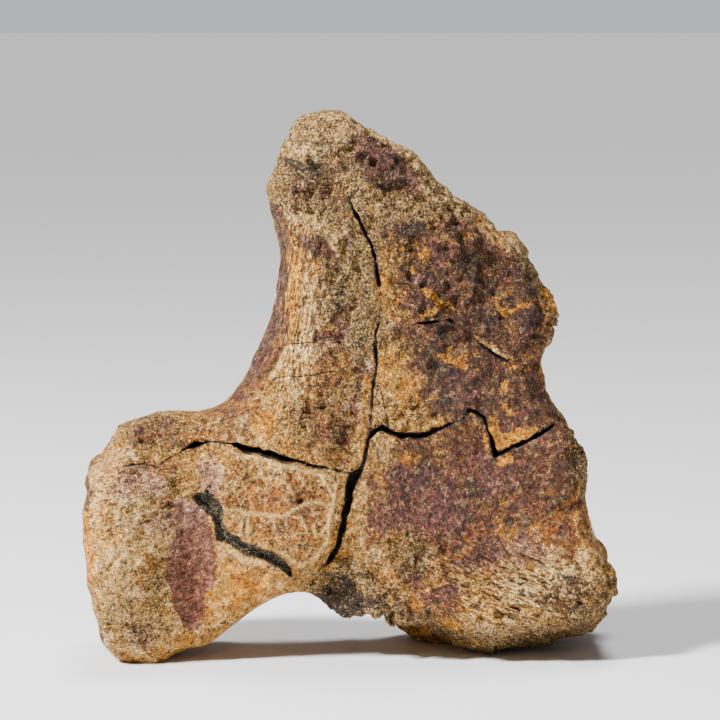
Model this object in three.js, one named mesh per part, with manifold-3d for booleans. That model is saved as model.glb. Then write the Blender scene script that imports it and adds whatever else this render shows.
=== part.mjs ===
// Fossil dinosaur vertebra: one weathered piece of bone that stands on the worn rims of its centrum.
// Units are millimetres, +Z is up and the bone's long axis runs along X. -Y is the better kept side.
// The origin is at the middle of the base, under the whole bone.
//
// The bone is described by a field: a number at each point that is negative inside the bone and
// positive outside, close to the distance from its surface. Centrum, spine and heel are blended there,
// trimmed to the broken outline, and hollowed. The field is then skinned with a mesh, the feet are cut
// level, and the drying cracks are cut as narrow blades.
import * as THREE from "three";
import { mergeVertices } from "three/addons/utils/BufferGeometryUtils.js";
import Module from "manifold-3d";

// ---------------------------------------------------------------- driving dimensions

const SKIN_CELL = 3.75; // size of the skin's faces
const HALF_LENGTH = 68; // from the middle of the bone to either end of the centrum
const LEVEL = 0; // height of the table that the feet are worn to
const MIDDLE = { x: 0.65, y: -1.42 }; // the place in the drawing that the origin is moved to

// The centrum is a spool: [at the waist, added at the ends].
const CENTRUM = {
  halfWidth: [17.5, 8],
  halfHeight: [22.5, 7],
  axisHeight: [38.5, -10.5],
  squareness: [2.2, 1.0], // exponent of the section, where 2 is an ellipse
  flare: 2.3, // how late the spool widens towards its ends
};
const YAW = { slope: 0.09, offset: -1.5 }; // the left end comes forward

// The neural spine is a thick blade above the centrum.
const SPINE = {
  topHeight: 140.5,
  halfThicknessAtTop: 7.6,
  thickening: 0.115, // mm of half thickness for each mm below the top
  thinning: 0.34, // share lost from the middle of the blade to its margins
  middleAtTop: -4,
  middleSlope: 0.25, // the blade's middle moves right by this for each mm down
  halfWidthAtTop: 20,
  widening: 0.42,
};
const FRONT_MARGIN_LEAN = 0.46; // the spine's front margin slants inwards towards -Y
const SOLE_LEAN = { from: 7, slope: 0.5 }; // the right foot's sole slants up, this far forward

// Radii over which the forms run into each other.
const BLEND = { spine: 11, outline: 7.5, hollow: 2.5, heel: 4 };

// ---------------------------------------------------------------- outline

// The outline as seen from the kept side, clockwise from the left foot: [x, z].
const LEFT_END = [
  [-51, -1.5], [-57, -0.8], [-60.4, 0.9], [-62.6, 3.5], [-63.8, 7.4], [-64.8, 15], [-65.4, 21], [-66.2, 28],
  [-66.6, 34.7], [-66.7, 41], [-66.2, 44.5], [-67.1, 46.7], [-66.7, 49.2], [-64.2, 50.6],
];
const LEFT_SHOULDER = [
  [-63.1, 52.5], [-62, 56.4], [-59.8, 59.5], [-56, 60.9], [-49.1, 62.9], [-43.9, 62.6], [-38.7, 62.5],
  [-34.4, 64.2],
];
const FRONT_MARGIN = [
  [-30.9, 66.9], [-27.5, 71.6], [-23.5, 78.6], [-20.6, 85.6], [-18.8, 93.4], [-18.2, 102], [-19.2, 110],
  [-20.4, 116], [-20.9, 121], [-19.8, 125.5],
];
const TIP = [
  [-17.8, 130.7], [-16, 135], [-13.5, 138], [-10, 139.8], [-6.6, 140.5], [-3.2, 140.2], [-0.6, 139.2],
];
const BROKEN_CREST = [
  [2, 137], [5.6, 135.1], [9.2, 133.3], [13.4, 131.6], [17.2, 129.5], [20.4, 126.2], [22.9, 122.6],
  [26.6, 120.1], [31, 117.3], [35.2, 114.6], [37.2, 111.4],
];
const BACK_LOBE = [
  [38.6, 109.2], [40.8, 109.6], [43.6, 108.1], [46.4, 105.2], [48, 101], [50.1, 96], [52, 90.8],
  [52.8, 86.5], [52, 82.6], [50.4, 79.4], [49.6, 76],
];
const BACK_MARGIN = [
  [50, 72.5], [51.2, 68.8], [53.4, 64.2], [56.4, 59.8], [59.2, 55.7], [60.7, 51.7], [61.3, 48.2],
  [61.1, 44.8], [61.5, 39], [62.8, 33.8], [64.2, 29], [66.5, 25.8],
];
const RIGHT_END = [
  [68.8, 23.4], [69.2, 20.8], [68.6, 17.8], [67.4, 14.6], [66.8, 11.6], [65.6, 8.2], [63, 5.8], [55.6, 3.4],
  [47.8, 1.8], [41, 0.2], [36, -1], [31.2, 0.8],
];
const VENTRAL_ARCH = [
  [27.6, 2.8], [24.2, 5.2], [20, 7.2], [14, 7.9], [11.8, 8.4], [9.6, 10.2], [7, 11.6], [3.6, 11.8],
  [1, 11], [-1.6, 11.5], [-4.8, 13.4], [-8.2, 15.4], [-10.8, 17], [-16.8, 17], [-20.4, 15.6], [-23.8, 13.6],
  [-27.2, 11], [-30.6, 8.4], [-35, 5], [-40, 3.3], [-44.4, 1.4],
];
const OUTLINE = [
  ...LEFT_END, ...LEFT_SHOULDER, ...FRONT_MARGIN, ...TIP, ...BROKEN_CREST,
  ...BACK_LOBE, ...BACK_MARGIN, ...RIGHT_END, ...VENTRAL_ARCH,
];
const OUTLINE_STEPS = 3; // straight steps between two outline points

// ---------------------------------------------------------------- relief

// Soft swellings and hollows of each side: height above the plain form, middle [x, z] and reach [x, z].
const KEPT_SIDE_RELIEF = [
  { height: 2.6, at: [-57, 30], reach: [11, 26] }, // swollen rim of the left end
  { height: -2.4, at: [-39.5, 26], reach: [6, 17] }, // groove behind the rim
  { height: 2.8, at: [-19, 38], reach: [16, 13] }, // raised plate in the middle
  { height: -2, at: [-26, 15], reach: [13, 6] }, // slope under the plate
  { height: -5, at: [-4, 16], reach: [9, 8] }, // broken hollow under the waist
  { height: 2.2, at: [-9, 80], reach: [8, 26] }, // column along the spine's front
  { height: 1.6, at: [-7, 107], reach: [9, 6] }, // ledge below the tip
  { height: -1.6, at: [-10, 121], reach: [8, 5] }, // hollow above the ledge
  { height: 1.2, at: [2, 130], reach: [14, 7] }, // worn tip
  { height: -2.2, at: [38, 101], reach: [4.5, 8] }, // notch beside the lobe
  { height: 1.8, at: [45, 94], reach: [6, 13] }, // lobe of the broken edge
  { height: -2.4, at: [26, 48], reach: [24, 13] }, // hollow flank of the waist
  { height: 1.4, at: [52, 50], reach: [7, 14] }, // edge that closes that flank
  { height: 4.4, at: [42, 12], reach: [24, 10] }, // flare of the right foot
  { height: -1.5, at: [17, 20], reach: [9, 7] }, // matrix slope beside the foot
];
const FAR_SIDE_RELIEF = [
  { height: 2.4, at: [-56, 32], reach: [12, 24] }, // swollen rim of the left end
  { height: 3.4, at: [52, 24], reach: [13, 18] }, // swollen rim of the right end
  { height: -3, at: [-24, 40], reach: [20, 11] }, // hollow flank
  { height: 4.2, at: [6, 62], reach: [13, 8] }, // stump of the broken side process
  { height: -1.8, at: [34, 78], reach: [11, 15] }, // hollow behind the spine
  { height: 1.8, at: [-4, 98], reach: [8, 24] }, // ridge up the spine
  { height: -1.8, at: [18, 112], reach: [9, 8] }, // spalled patch under the crest
];

// Hollows that are scooped out as ellipsoids: middle and radii.
const ARTICULAR_CUP_LEFT = { at: [-77, -7.5, 29], radii: [12.5, 19, 20] };
const ARTICULAR_CUP_RIGHT = { at: [76, 5, 24], radii: [13, 18, 18] };
const NEURAL_CANAL_LEFT = { at: [-66, -3, 57.5], radii: [8, 6.5, 4.4] };
const NEURAL_CANAL_RIGHT = { at: [62, 3, 60.5], radii: [8, 6, 5] };
const CREST_SPALL = { at: [14, -16, 137], radii: [13, 8, 7] };
const HOLLOWS = [
  ARTICULAR_CUP_LEFT, ARTICULAR_CUP_RIGHT, NEURAL_CANAL_LEFT, NEURAL_CANAL_RIGHT, CREST_SPALL,
];
const FAR_HEEL = { at: [31, 14, 6], radii: [20, 11.5, 9] }; // far side of the right foot

const ROUGHNESS = [
  { height: 0.9, size: 13, seed: 3 }, // broad unevenness
  { height: 0.5, size: 5.5, seed: 8 }, // lumps and pits
];

// ---------------------------------------------------------------- cracks

// Drying cracks: opening width, depth, floor width as a share of the opening, and path [x, z].
const KEPT_SIDE_CRACKS = [
  { width: 2.1, depth: 6, floor: 0.2, path: [[0.2, 120], [1.3, 115.5], [4.2, 110], [6.8, 103], [7.6, 97.6]] },
  {
    width: 2.0, depth: 7, floor: 0.25,
    path: [[8, 91.5], [8.3, 87], [7, 81], [7.2, 75.5], [6.6, 70], [5.9, 62], [5, 56], [3.4, 51.5], [1.4, 48]],
  },
  {
    width: 3.0, depth: 7, floor: 0.3,
    path: [[1.6, 48.4], [-0.6, 44.5], [-1.6, 38], [-3.2, 31], [-6.2, 24.6]],
  },
  {
    width: 2.5, depth: 7, floor: 0.3,
    path: [[4.4, 57], [7.4, 60.6], [10, 60.8], [12.4, 57.8], [18, 57.6], [24, 59.6], [29, 62.6], [33.6, 64.2]],
  },
  { width: 1.5, depth: 5, floor: 0.2, path: [[33.4, 64.4], [35.5, 60.4], [37.4, 55], [38.4, 51.6]] },
  { width: 1.9, depth: 6, floor: 0.2, path: [[37.6, 52.2], [42.6, 53.8], [48, 57.4], [54.4, 61]] },
  {
    width: 2.4, depth: 7, floor: 0.2,
    path: [[-33, 55.6], [-29.6, 55.8], [-24, 53.8], [-17, 51.6], [-10, 49.4], [-3.6, 48.6], [1, 48.4]],
  },
  { width: 1.5, depth: 4, floor: 0.2, path: [[-44, 54.4], [-40.6, 56.2], [-37, 57]] },
  {
    width: 3.3, depth: 5, floor: 0.6,
    path: [[-39.6, 42.6], [-36.4, 41], [-34.4, 38.6], [-34.2, 33.6], [-29, 31], [-20.6, 28], [-17.4, 24.8], [-15.8, 22]],
  },
  { width: 1.4, depth: 4, floor: 0.2, path: [[16, 86.2], [20, 87.4], [25, 87.2], [28.6, 86]] },
  { width: 1.0, depth: 3, floor: 0.2, path: [[31, 83.6], [36.4, 79], [41.4, 75]] },
];
const FAR_SIDE_CRACKS = [
  {
    width: 2.0, depth: 6, floor: 0.25,
    path: [[-4, 121], [-2, 108], [-5, 94], [-3, 80], [2, 70], [0, 58], [5, 46], [3, 33]],
  },
  { width: 2.2, depth: 6, floor: 0.3, path: [[0.6, 57], [-12, 53], [-24, 55], [-38, 50], [-48, 52]] },
  { width: 1.8, depth: 5, floor: 0.2, path: [[3.4, 45], [16, 41], [28, 45], [42, 41], [52, 45]] },
  { width: 1.4, depth: 4, floor: 0.2, path: [[14, 92], [23, 88], [32, 91], [40, 85]] },
];
const BLADE_RISE = 4; // how far a crack's blade stands proud of the bone

// ---------------------------------------------------------------- small maths

const clamp01 = (v) => Math.min(1, Math.max(0, v));
const mix = (a, b, t) => a + (b - a) * t;

function smoothStep(from, to, v) {
  const t = clamp01((v - from) / (to - from));
  return t * t * (3 - 2 * t);
}

// The larger or smaller of two field values, with the corner between them rounded over a radius.
function smoothMax(a, b, radius) {
  const overlap = Math.max(radius - Math.abs(a - b), 0) / radius;
  return Math.max(a, b) + (overlap * overlap * radius) / 4;
}
const smoothMin = (a, b, radius) => -smoothMax(-a, -b, radius);

// A repeatable number from -1 to 1 for each lattice corner.
function cornerValue(i, j, k, seed) {
  const n = Math.sin(i * 127.1 + j * 311.7 + k * 74.7 + seed * 53.3) * 43758.5453;
  return 2 * (n - Math.floor(n)) - 1;
}

// Smooth noise between the corners of a unit lattice, from -1 to 1.
function noise(x, y, z, seed) {
  const [i, j, k] = [Math.floor(x), Math.floor(y), Math.floor(z)];
  const [u, v, w] = [x - i, y - j, z - k].map((t) => t * t * (3 - 2 * t));
  const along = (dj, dk) =>
    mix(cornerValue(i, j + dj, k + dk, seed), cornerValue(i + 1, j + dj, k + dk, seed), u);
  return mix(mix(along(0, 0), along(1, 0), v), mix(along(0, 1), along(1, 1), v), w);
}

// ---------------------------------------------------------------- the bone as a field

const outlinePoints = new THREE.CatmullRomCurve3(
  OUTLINE.map(([x, z]) => new THREE.Vector3(x, 0, z)),
  true,
  "centripetal",
).getPoints(OUTLINE.length * OUTLINE_STEPS);

// Distance from [x, z] to the outline, negative inside it.
function outlineDistance(x, z) {
  let nearest = Infinity;
  let inside = false;
  for (let i = 0; i < outlinePoints.length - 1; i++) {
    const [a, b] = [outlinePoints[i], outlinePoints[i + 1]];
    const [ex, ez] = [b.x - a.x, b.z - a.z];
    const t = clamp01(((x - a.x) * ex + (z - a.z) * ez) / (ex * ex + ez * ez || 1));
    nearest = Math.min(nearest, Math.hypot(x - a.x - ex * t, z - a.z - ez * t));
    if (a.z > z !== b.z > z && x < a.x + (ex * (z - a.z)) / ez) inside = !inside;
  }
  return inside ? -nearest : nearest;
}

const middleY = (x) => YAW.slope * x + YAW.offset;

function centrum(x, y, z) {
  const flare = Math.abs(x / HALF_LENGTH) ** CENTRUM.flare;
  const [width, height, axis, power] = ["halfWidth", "halfHeight", "axisHeight", "squareness"].map(
    (key) => CENTRUM[key][0] + CENTRUM[key][1] * flare,
  );
  const across = Math.abs((y - middleY(x)) / width) ** power;
  const upright = Math.abs((z - axis) / height) ** power;
  return ((across + upright) ** (1 / power) - 1) * Math.min(width, height);
}

function spine(x, y, z) {
  const down = SPINE.topHeight - z;
  const middle = SPINE.middleAtTop + SPINE.middleSlope * down;
  const side = (x - middle) / (SPINE.halfWidthAtTop + SPINE.widening * down);
  const thickness = SPINE.halfThicknessAtTop + SPINE.thickening * down;
  return Math.abs(y - middleY(x)) - thickness * (1 - SPINE.thinning * Math.min(side * side, 1.6));
}

function ellipsoid({ at, radii }, x, y, z) {
  const reach = Math.hypot((x - at[0]) / radii[0], (y - at[1]) / radii[1], (z - at[2]) / radii[2]);
  return (reach - 1) * Math.min(...radii);
}

function reliefHeight(swellings, x, z) {
  return swellings.reduce((sum, { height, at, reach }) => {
    const away = ((x - at[0]) / reach[0]) ** 2 + ((z - at[1]) / reach[1]) ** 2;
    return sum + height * Math.exp(-away);
  }, 0);
}

// The outline as a wall round the bone. It slants at the spine's front margin and the right foot's sole.
function wall(x, y, z) {
  const onMargin = smoothStep(0, -14, x) * smoothStep(62, 76, z);
  const onSole = smoothStep(8, 24, x) * smoothStep(18, 5, z);
  const forward = Math.max(0, middleY(x) - y);
  const lean = onMargin * FRONT_MARGIN_LEAN * forward;
  return outlineDistance(x, z) + lean + onSole * SOLE_LEAN.slope * Math.max(0, forward - SOLE_LEAN.from);
}

function bone(x, y, z) {
  const keptSide = smoothStep(4, -8, y - middleY(x));
  const relief =
    keptSide * reliefHeight(KEPT_SIDE_RELIEF, x, z) + (1 - keptSide) * reliefHeight(FAR_SIDE_RELIEF, x, z);
  let value = smoothMin(centrum(x, y, z), spine(x, y, z), BLEND.spine) - relief;
  value = smoothMax(value, wall(x, y, z), BLEND.outline);
  value = smoothMin(value, ellipsoid(FAR_HEEL, x, y, z), BLEND.heel);
  for (const hollow of HOLLOWS) value = smoothMax(value, -ellipsoid(hollow, x, y, z), BLEND.hollow);
  for (const { height, size, seed } of ROUGHNESS) {
    value += height * noise(x / size, y / size, z / size, seed);
  }
  return value;
}

// ---------------------------------------------------------------- the skin over the field

const SKIN_BOX = new THREE.Box3(new THREE.Vector3(-78, -44, -14), new THREE.Vector3(78, 46, 148));

// Moves a point onto the surface where the field is zero.
function settle(point) {
  const e = 0.05;
  for (let round = 0; round < 3; round++) {
    const { x, y, z } = point;
    const slope = new THREE.Vector3(
      bone(x + e, y, z) - bone(x - e, y, z),
      bone(x, y + e, z) - bone(x, y - e, z),
      bone(x, y, z + e) - bone(x, y, z - e),
    ).divideScalar(2 * e);
    const step = slope.multiplyScalar(-bone(x, y, z) / Math.max(slope.lengthSq(), 0.2));
    point.add(step.clampLength(0, SKIN_CELL / 3));
  }
  return point;
}

// Surface nets: one vertex in each cell that the surface crosses, and one quad for each crossed edge.
function skinOf(field, box, cell) {
  const size = box.getSize(new THREE.Vector3());
  const count = [size.x, size.y, size.z].map((s) => Math.ceil(s / cell) + 1);
  const at = (i, j, k) => (k * count[1] + j) * count[0] + i;
  const place = (i, j, k) => new THREE.Vector3(i, j, k).multiplyScalar(cell).add(box.min);
  const values = new Float32Array(count[0] * count[1] * count[2]);
  for (let k = 0; k < count[2]; k++)
    for (let j = 0; j < count[1]; j++)
      for (let i = 0; i < count[0]; i++) {
        const p = place(i, j, k);
        values[at(i, j, k)] = field(p.x, p.y, p.z);
      }

  const corners = [0, 1, 2, 3, 4, 5, 6, 7].map((n) => [n & 1, (n >> 1) & 1, n >> 2]);
  const edges = [[0, 1], [2, 3], [4, 5], [6, 7], [0, 2], [1, 3], [4, 6], [5, 7], [0, 4], [1, 5], [2, 6], [3, 7]];
  const vertexOf = new Map();
  const positions = [];
  for (let k = 0; k < count[2] - 1; k++)
    for (let j = 0; j < count[1] - 1; j++)
      for (let i = 0; i < count[0] - 1; i++) {
        const v = corners.map(([a, b, c]) => values[at(i + a, j + b, k + c)]);
        const crossings = edges
          .filter(([a, b]) => v[a] < 0 !== v[b] < 0)
          .map(([a, b]) => {
            const [from, to] = [a, b].map((n) => place(...corners[n].map((c, axis) => c + [i, j, k][axis])));
            return from.lerp(to, v[a] / (v[a] - v[b]));
          });
        if (!crossings.length) continue;
        const middle = crossings.reduce((sum, p) => sum.add(p), new THREE.Vector3());
        vertexOf.set(at(i, j, k), positions.length / 3);
        positions.push(...settle(middle.divideScalar(crossings.length)));
      }

  const steps = [[1, 0, 0], [0, 1, 0], [0, 0, 1]];
  const faces = [];
  for (let k = 1; k < count[2] - 1; k++)
    for (let j = 1; j < count[1] - 1; j++)
      for (let i = 1; i < count[0] - 1; i++)
        for (let axis = 0; axis < 3; axis++) {
          const [di, dj, dk] = steps[axis];
          const inside = values[at(i, j, k)] < 0;
          if (inside === values[at(i + di, j + dj, k + dk)] < 0) continue;
          const [u, v] = [steps[(axis + 1) % 3], steps[(axis + 2) % 3]];
          const cellAt = (a, b) =>
            vertexOf.get(at(i - a * u[0] - b * v[0], j - a * u[1] - b * v[1], k - a * u[2] - b * v[2]));
          const quad = [cellAt(1, 1), cellAt(0, 1), cellAt(0, 0), cellAt(1, 0)];
          if (!inside) quad.reverse();
          faces.push(quad[0], quad[1], quad[2], quad[0], quad[2], quad[3]);
        }

  return new THREE.BufferGeometry()
    .setAttribute("position", new THREE.Float32BufferAttribute(positions, 3))
    .setIndex(faces);
}

// ---------------------------------------------------------------- crack blades

// The y of the bone's surface at [x, z], met from outside on the kept side (-1) or the far side (+1).
function surfaceY(x, z, side) {
  const outside = 45 * side;
  const step = 0.25;
  for (let travelled = 0; travelled < 80; travelled += step) {
    const y = outside - side * travelled;
    if (bone(x, y, z) < 0) return y;
  }
  return middleY(x);
}

// A blade follows the crack's path over the surface, narrowing to a point at both ends.
function crackBlade({ width, depth, floor, path }, side) {
  const positions = [];
  const last = path.length - 1;
  path.forEach(([x, z], n) => {
    const before = path[Math.max(n - 1, 0)];
    const after = path[Math.min(n + 1, last)];
    const across = new THREE.Vector2(before[1] - after[1], after[0] - before[0]).normalize();
    const open = (width / 2) * (n === 0 || n === last ? 0.18 : 1);
    const surface = surfaceY(x, z, side);
    const top = surface + side * BLADE_RISE;
    const bottom = surface - side * depth * (n === 0 || n === last ? 0.35 : 1);
    for (const [reach, y] of [[-open, top], [open, top], [open * floor, bottom], [-open * floor, bottom]]) {
      positions.push(x + across.x * reach, y, z + across.y * reach);
    }
  });
  const faces = [0, 1, 2, 0, 2, 3];
  for (let n = 0; n < last; n++) {
    for (let side0 = 0; side0 < 4; side0++) {
      const [a, b] = [4 * n + side0, 4 * n + ((side0 + 1) % 4)];
      faces.push(a, a + 4, b, b, a + 4, b + 4);
    }
  }
  const end = 4 * last;
  faces.push(end, end + 2, end + 1, end, end + 3, end + 2);
  return new THREE.BufferGeometry()
    .setAttribute("position", new THREE.Float32BufferAttribute(positions, 3))
    .setIndex(faces);
}

// ---------------------------------------------------------------- joining and cutting

const wasm = await Module();
wasm.setup();

// A closed geometry as a solid, turned the right way out.
function solidFrom(geometry) {
  const bare = geometry.clone();
  bare.deleteAttribute("normal");
  bare.deleteAttribute("uv");
  const merged = mergeVertices(bare, 1e-4);
  const solidOf = (triVerts) =>
    new wasm.Manifold(
      new wasm.Mesh({ numProp: 3, vertProperties: merged.attributes.position.array, triVerts }),
    );
  const triVerts = new Uint32Array(merged.index.array);
  const solid = solidOf(triVerts);
  return solid.volume() > 0 ? solid : solidOf(triVerts.reverse());
}

function geometryFrom(solid) {
  const { vertProperties, triVerts } = solid.getMesh();
  const geometry = new THREE.BufferGeometry()
    .setAttribute("position", new THREE.BufferAttribute(vertProperties, 3))
    .setIndex(new THREE.BufferAttribute(triVerts, 1));
  geometry.computeVertexNormals();
  return geometry;
}

// Everything above the table.
function spaceAboveTable() {
  const size = SKIN_BOX.getSize(new THREE.Vector3());
  return new THREE.BoxGeometry(size.x, size.y, size.z).translate(0, 0, LEVEL + size.z / 2);
}

function vertebraGeometry() {
  let solid = solidFrom(skinOf(bone, SKIN_BOX, SKIN_CELL)).intersect(solidFrom(spaceAboveTable()));
  for (const [cracks, side] of [[KEPT_SIDE_CRACKS, -1], [FAR_SIDE_CRACKS, 1]]) {
    for (const crack of cracks) solid = solid.subtract(solidFrom(crackBlade(crack, side)));
  }
  return geometryFrom(solid).translate(-MIDDLE.x, -MIDDLE.y, 0);
}

const fossilBone = new THREE.MeshStandardMaterial({ color: 0x9a7548, roughness: 0.88, metalness: 0 });
const vertebra = new THREE.Mesh(vertebraGeometry(), fossilBone);
vertebra.name = "vertebra";

const fossil = new THREE.Group();
fossil.add(vertebra);

export default fossil;
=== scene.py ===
# %% [markdown]
# # A fossil dinosaur vertebra
# A vertebra is one bone of a backbone. This one has a spool-shaped body, the centrum, that stands on the
# worn rims of its two ends, and a tall blade above it, the neural spine. After burial, minerals stained
# it rust, plum and cream. Sandstone filled its hollows, drying cracks split it, and its edges broke.
#
# The lesson describes the bone as a field, skins the field with a mesh fine enough to hold ledges, pits
# and cracks, paints named stains on it as attributes, and scatters real sand grains with Geometry Nodes.
# Lengths in the shape cells are millimetres, because a fossil is measured in them. The mesh is in metres.

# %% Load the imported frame
import math
import time
from functools import partial

import bpy
import numpy as np
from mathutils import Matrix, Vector


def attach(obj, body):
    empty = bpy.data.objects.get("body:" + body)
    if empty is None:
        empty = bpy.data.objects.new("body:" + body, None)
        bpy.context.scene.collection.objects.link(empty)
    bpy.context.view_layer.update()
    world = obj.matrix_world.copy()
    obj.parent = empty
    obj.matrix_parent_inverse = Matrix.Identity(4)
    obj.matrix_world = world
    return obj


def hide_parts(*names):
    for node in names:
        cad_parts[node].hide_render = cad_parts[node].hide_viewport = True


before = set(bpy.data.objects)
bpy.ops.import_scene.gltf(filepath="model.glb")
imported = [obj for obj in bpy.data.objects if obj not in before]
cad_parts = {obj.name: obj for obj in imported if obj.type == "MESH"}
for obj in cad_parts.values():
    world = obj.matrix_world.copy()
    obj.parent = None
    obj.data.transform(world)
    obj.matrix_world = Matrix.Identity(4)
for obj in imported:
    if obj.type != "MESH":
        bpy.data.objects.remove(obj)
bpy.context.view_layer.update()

MM = 0.001  # metres in a millimetre
started = time.time()

# %% [markdown]
# ## The outline
# Seen from its better kept side, the bone has a worn left end, a shoulder, the steep front margin of the
# spine, a rounded tip, a broken crest, and a right end with a smaller foot. An outline like this could be
# a Bezier curve. Here it is a list of points, because the field below needs the distance to it.

# %% Outline points, [x, z] in mm
LEFT_END = [
    [-51, -1.5], [-57, -0.8], [-60.4, 0.9], [-62.6, 3.5], [-63.8, 7.4], [-64.8, 15], [-65.4, 21],
    [-66.2, 28], [-66.6, 34.7], [-66.7, 41], [-66.2, 44.5], [-67.1, 46.7], [-66.7, 49.2], [-64.2, 50.6],
]
LEFT_SHOULDER = [
    [-63.1, 52.5], [-62, 56.4], [-59.8, 59.5], [-56, 60.9], [-49.1, 62.9], [-43.9, 62.6], [-38.7, 62.5],
    [-34.4, 64.2],
]
FRONT_MARGIN = [
    [-30.9, 66.9], [-27.5, 71.6], [-23.5, 78.6], [-20.6, 85.6], [-18.8, 93.4], [-18.2, 102], [-19.2, 110],
    [-20.4, 116], [-20.9, 121], [-19.8, 125.5],
]
TIP = [
    [-17.8, 130.7], [-16, 135], [-13.5, 138], [-10, 139.8], [-6.6, 140.5], [-3.2, 140.2], [-0.6, 139.2],
]
BROKEN_CREST = [
    [2, 137], [5.6, 135.1], [9.2, 133.3], [13.4, 131.6], [17.2, 129.5], [20.4, 126.2], [22.9, 122.6],
    [26.6, 120.1], [31, 117.3], [35.2, 114.6], [37.2, 111.4],
]
BACK_LOBE = [
    [38.6, 109.2], [40.8, 109.6], [43.6, 108.1], [46.4, 105.2], [48, 101], [50.1, 96], [52, 90.8],
    [52.8, 86.5], [52, 82.6], [50.4, 79.4], [49.6, 76],
]
BACK_MARGIN = [
    [50, 72.5], [51.2, 68.8], [53.4, 64.2], [56.4, 59.8], [59.2, 55.7], [60.7, 51.7], [61.3, 48.2],
    [61.1, 44.8], [61.5, 39], [62.8, 33.8], [64.2, 29], [66.5, 25.8],
]
RIGHT_END = [
    [68.8, 23.4], [69.2, 20.8], [68.6, 17.8], [67.4, 14.6], [66.8, 11.6], [65.6, 8.2], [63, 5.8],
    [55.6, 3.4], [47.8, 1.8], [41, 0.2], [36, -1], [31.2, 0.8],
]
VENTRAL_ARCH = [
    [27.6, 2.8], [24.2, 5.2], [20, 7.2], [14, 7.9], [11.8, 8.4], [9.6, 10.2], [7, 11.6], [3.6, 11.8],
    [1, 11], [-1.6, 11.5], [-4.8, 13.4], [-8.2, 15.4], [-10.8, 17], [-16.8, 17], [-20.4, 15.6],
    [-23.8, 13.6], [-27.2, 11], [-30.6, 8.4], [-35, 5], [-40, 3.3], [-44.4, 1.4],
]
OUTLINE = (
    LEFT_END + LEFT_SHOULDER + FRONT_MARGIN + TIP + BROKEN_CREST
    + BACK_LOBE + BACK_MARGIN + RIGHT_END + VENTRAL_ARCH
)


def closed_curve(points, steps):
    """A smooth closed curve through the points, with so many straight steps between two of them."""
    here = np.array(points, float)
    before, after, beyond = np.roll(here, 1, 0), np.roll(here, -1, 0), np.roll(here, -2, 0)
    gap = [
        np.sqrt(np.linalg.norm(b - a, axis=1))[:, None]
        for a, b in ((before, here), (here, after), (after, beyond))
    ]
    leave = (here - before) / gap[0] - (after - before) / (gap[0] + gap[1]) + (after - here) / gap[1]
    arrive = (after - here) / gap[1] - (beyond - here) / (gap[1] + gap[2]) + (beyond - after) / gap[2]
    rows = []
    for t in np.arange(steps) / steps:
        rows.append(
            (2 * t**3 - 3 * t**2 + 1) * here
            + (t**3 - 2 * t**2 + t) * leave * gap[1]
            + (3 * t**2 - 2 * t**3) * after
            + (t**3 - t**2) * arrive * gap[1]
        )
    return np.stack(rows, 1).reshape(-1, 2)


outline_curve = closed_curve(OUTLINE, 3)
print("outline:", len(OUTLINE), "points,", len(outline_curve), "steps")

# %% [markdown]
# ## Small tools
# A stain or a crack is a line or a patch drawn on the side of the bone, so the tools measure how far each
# place is from a line or a patch. Noise with a fixed seed gives the unevenness that no list can hold.

# %% Blending and noise


def smooth_step(low, high, value):
    """0 before low, 1 after high, and an S-curve between."""
    t = np.clip((value - low) / (high - low), 0, 1)
    return t * t * (3 - 2 * t)


def smooth_max(a, b, radius):
    """The larger value, with the corner between the two rounded over a radius."""
    overlap = np.maximum(radius - np.abs(a - b), 0) / radius
    return np.maximum(a, b) + overlap * overlap * radius / 4


def smooth_min(a, b, radius):
    """The smaller value, rounded in the same way."""
    return -smooth_max(-a, -b, radius)


def corner_value(i, j, k, seed):
    """A repeatable number from -1 to 1 for each lattice corner."""
    n = np.sin(i * 127.1 + j * 311.7 + k * 74.7 + seed * 53.3) * 43758.5453
    return 2 * (n - np.floor(n)) - 1


def noise(x, y, z, seed):
    """Smooth noise between the corners of a unit lattice, from -1 to 1."""
    i, j, k = np.floor(x), np.floor(y), np.floor(z)
    u, v, w = (t * t * (3 - 2 * t) for t in (x - i, y - j, z - k))
    total = 0
    for dk, upright in ((0, 1 - w), (1, w)):
        for dj, across in ((0, 1 - v), (1, v)):
            first = corner_value(i, j + dj, k + dk, seed)
            second = corner_value(i + 1, j + dj, k + dk, seed)
            total = total + upright * across * (first + u * (second - first))
    return total


print("a corner rounded over 2 mm stands back by", float(smooth_max(0.0, 0.0, 2.0)), "mm")

# %% Distances from paths and outlines


def path_distance(x, z, path):
    """Distance to a path, which side of it a place is on, and how far along it the nearest place is."""
    path = np.array(path, float)
    lengths = np.linalg.norm(np.diff(path, axis=0), axis=1)
    nearest = np.full(np.shape(x), 1e9)
    side = np.ones(np.shape(x))
    along = np.zeros(np.shape(x))
    walked = 0
    for (ax, az), (bx, bz), length in zip(path[:-1], path[1:], lengths):
        ex, ez = bx - ax, bz - az
        t = np.clip(((x - ax) * ex + (z - az) * ez) / (length * length), 0, 1)
        dx, dz = x - ax - ex * t, z - az - ez * t
        away = np.hypot(dx, dz)
        closer = away < nearest
        nearest = np.where(closer, away, nearest)
        side = np.where(closer, np.where(ex * dz - ez * dx < 0, -1, 1), side)
        along = np.where(closer, (walked + t * length) / lengths.sum(), along)
        walked += length
    return nearest, side, along


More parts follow.
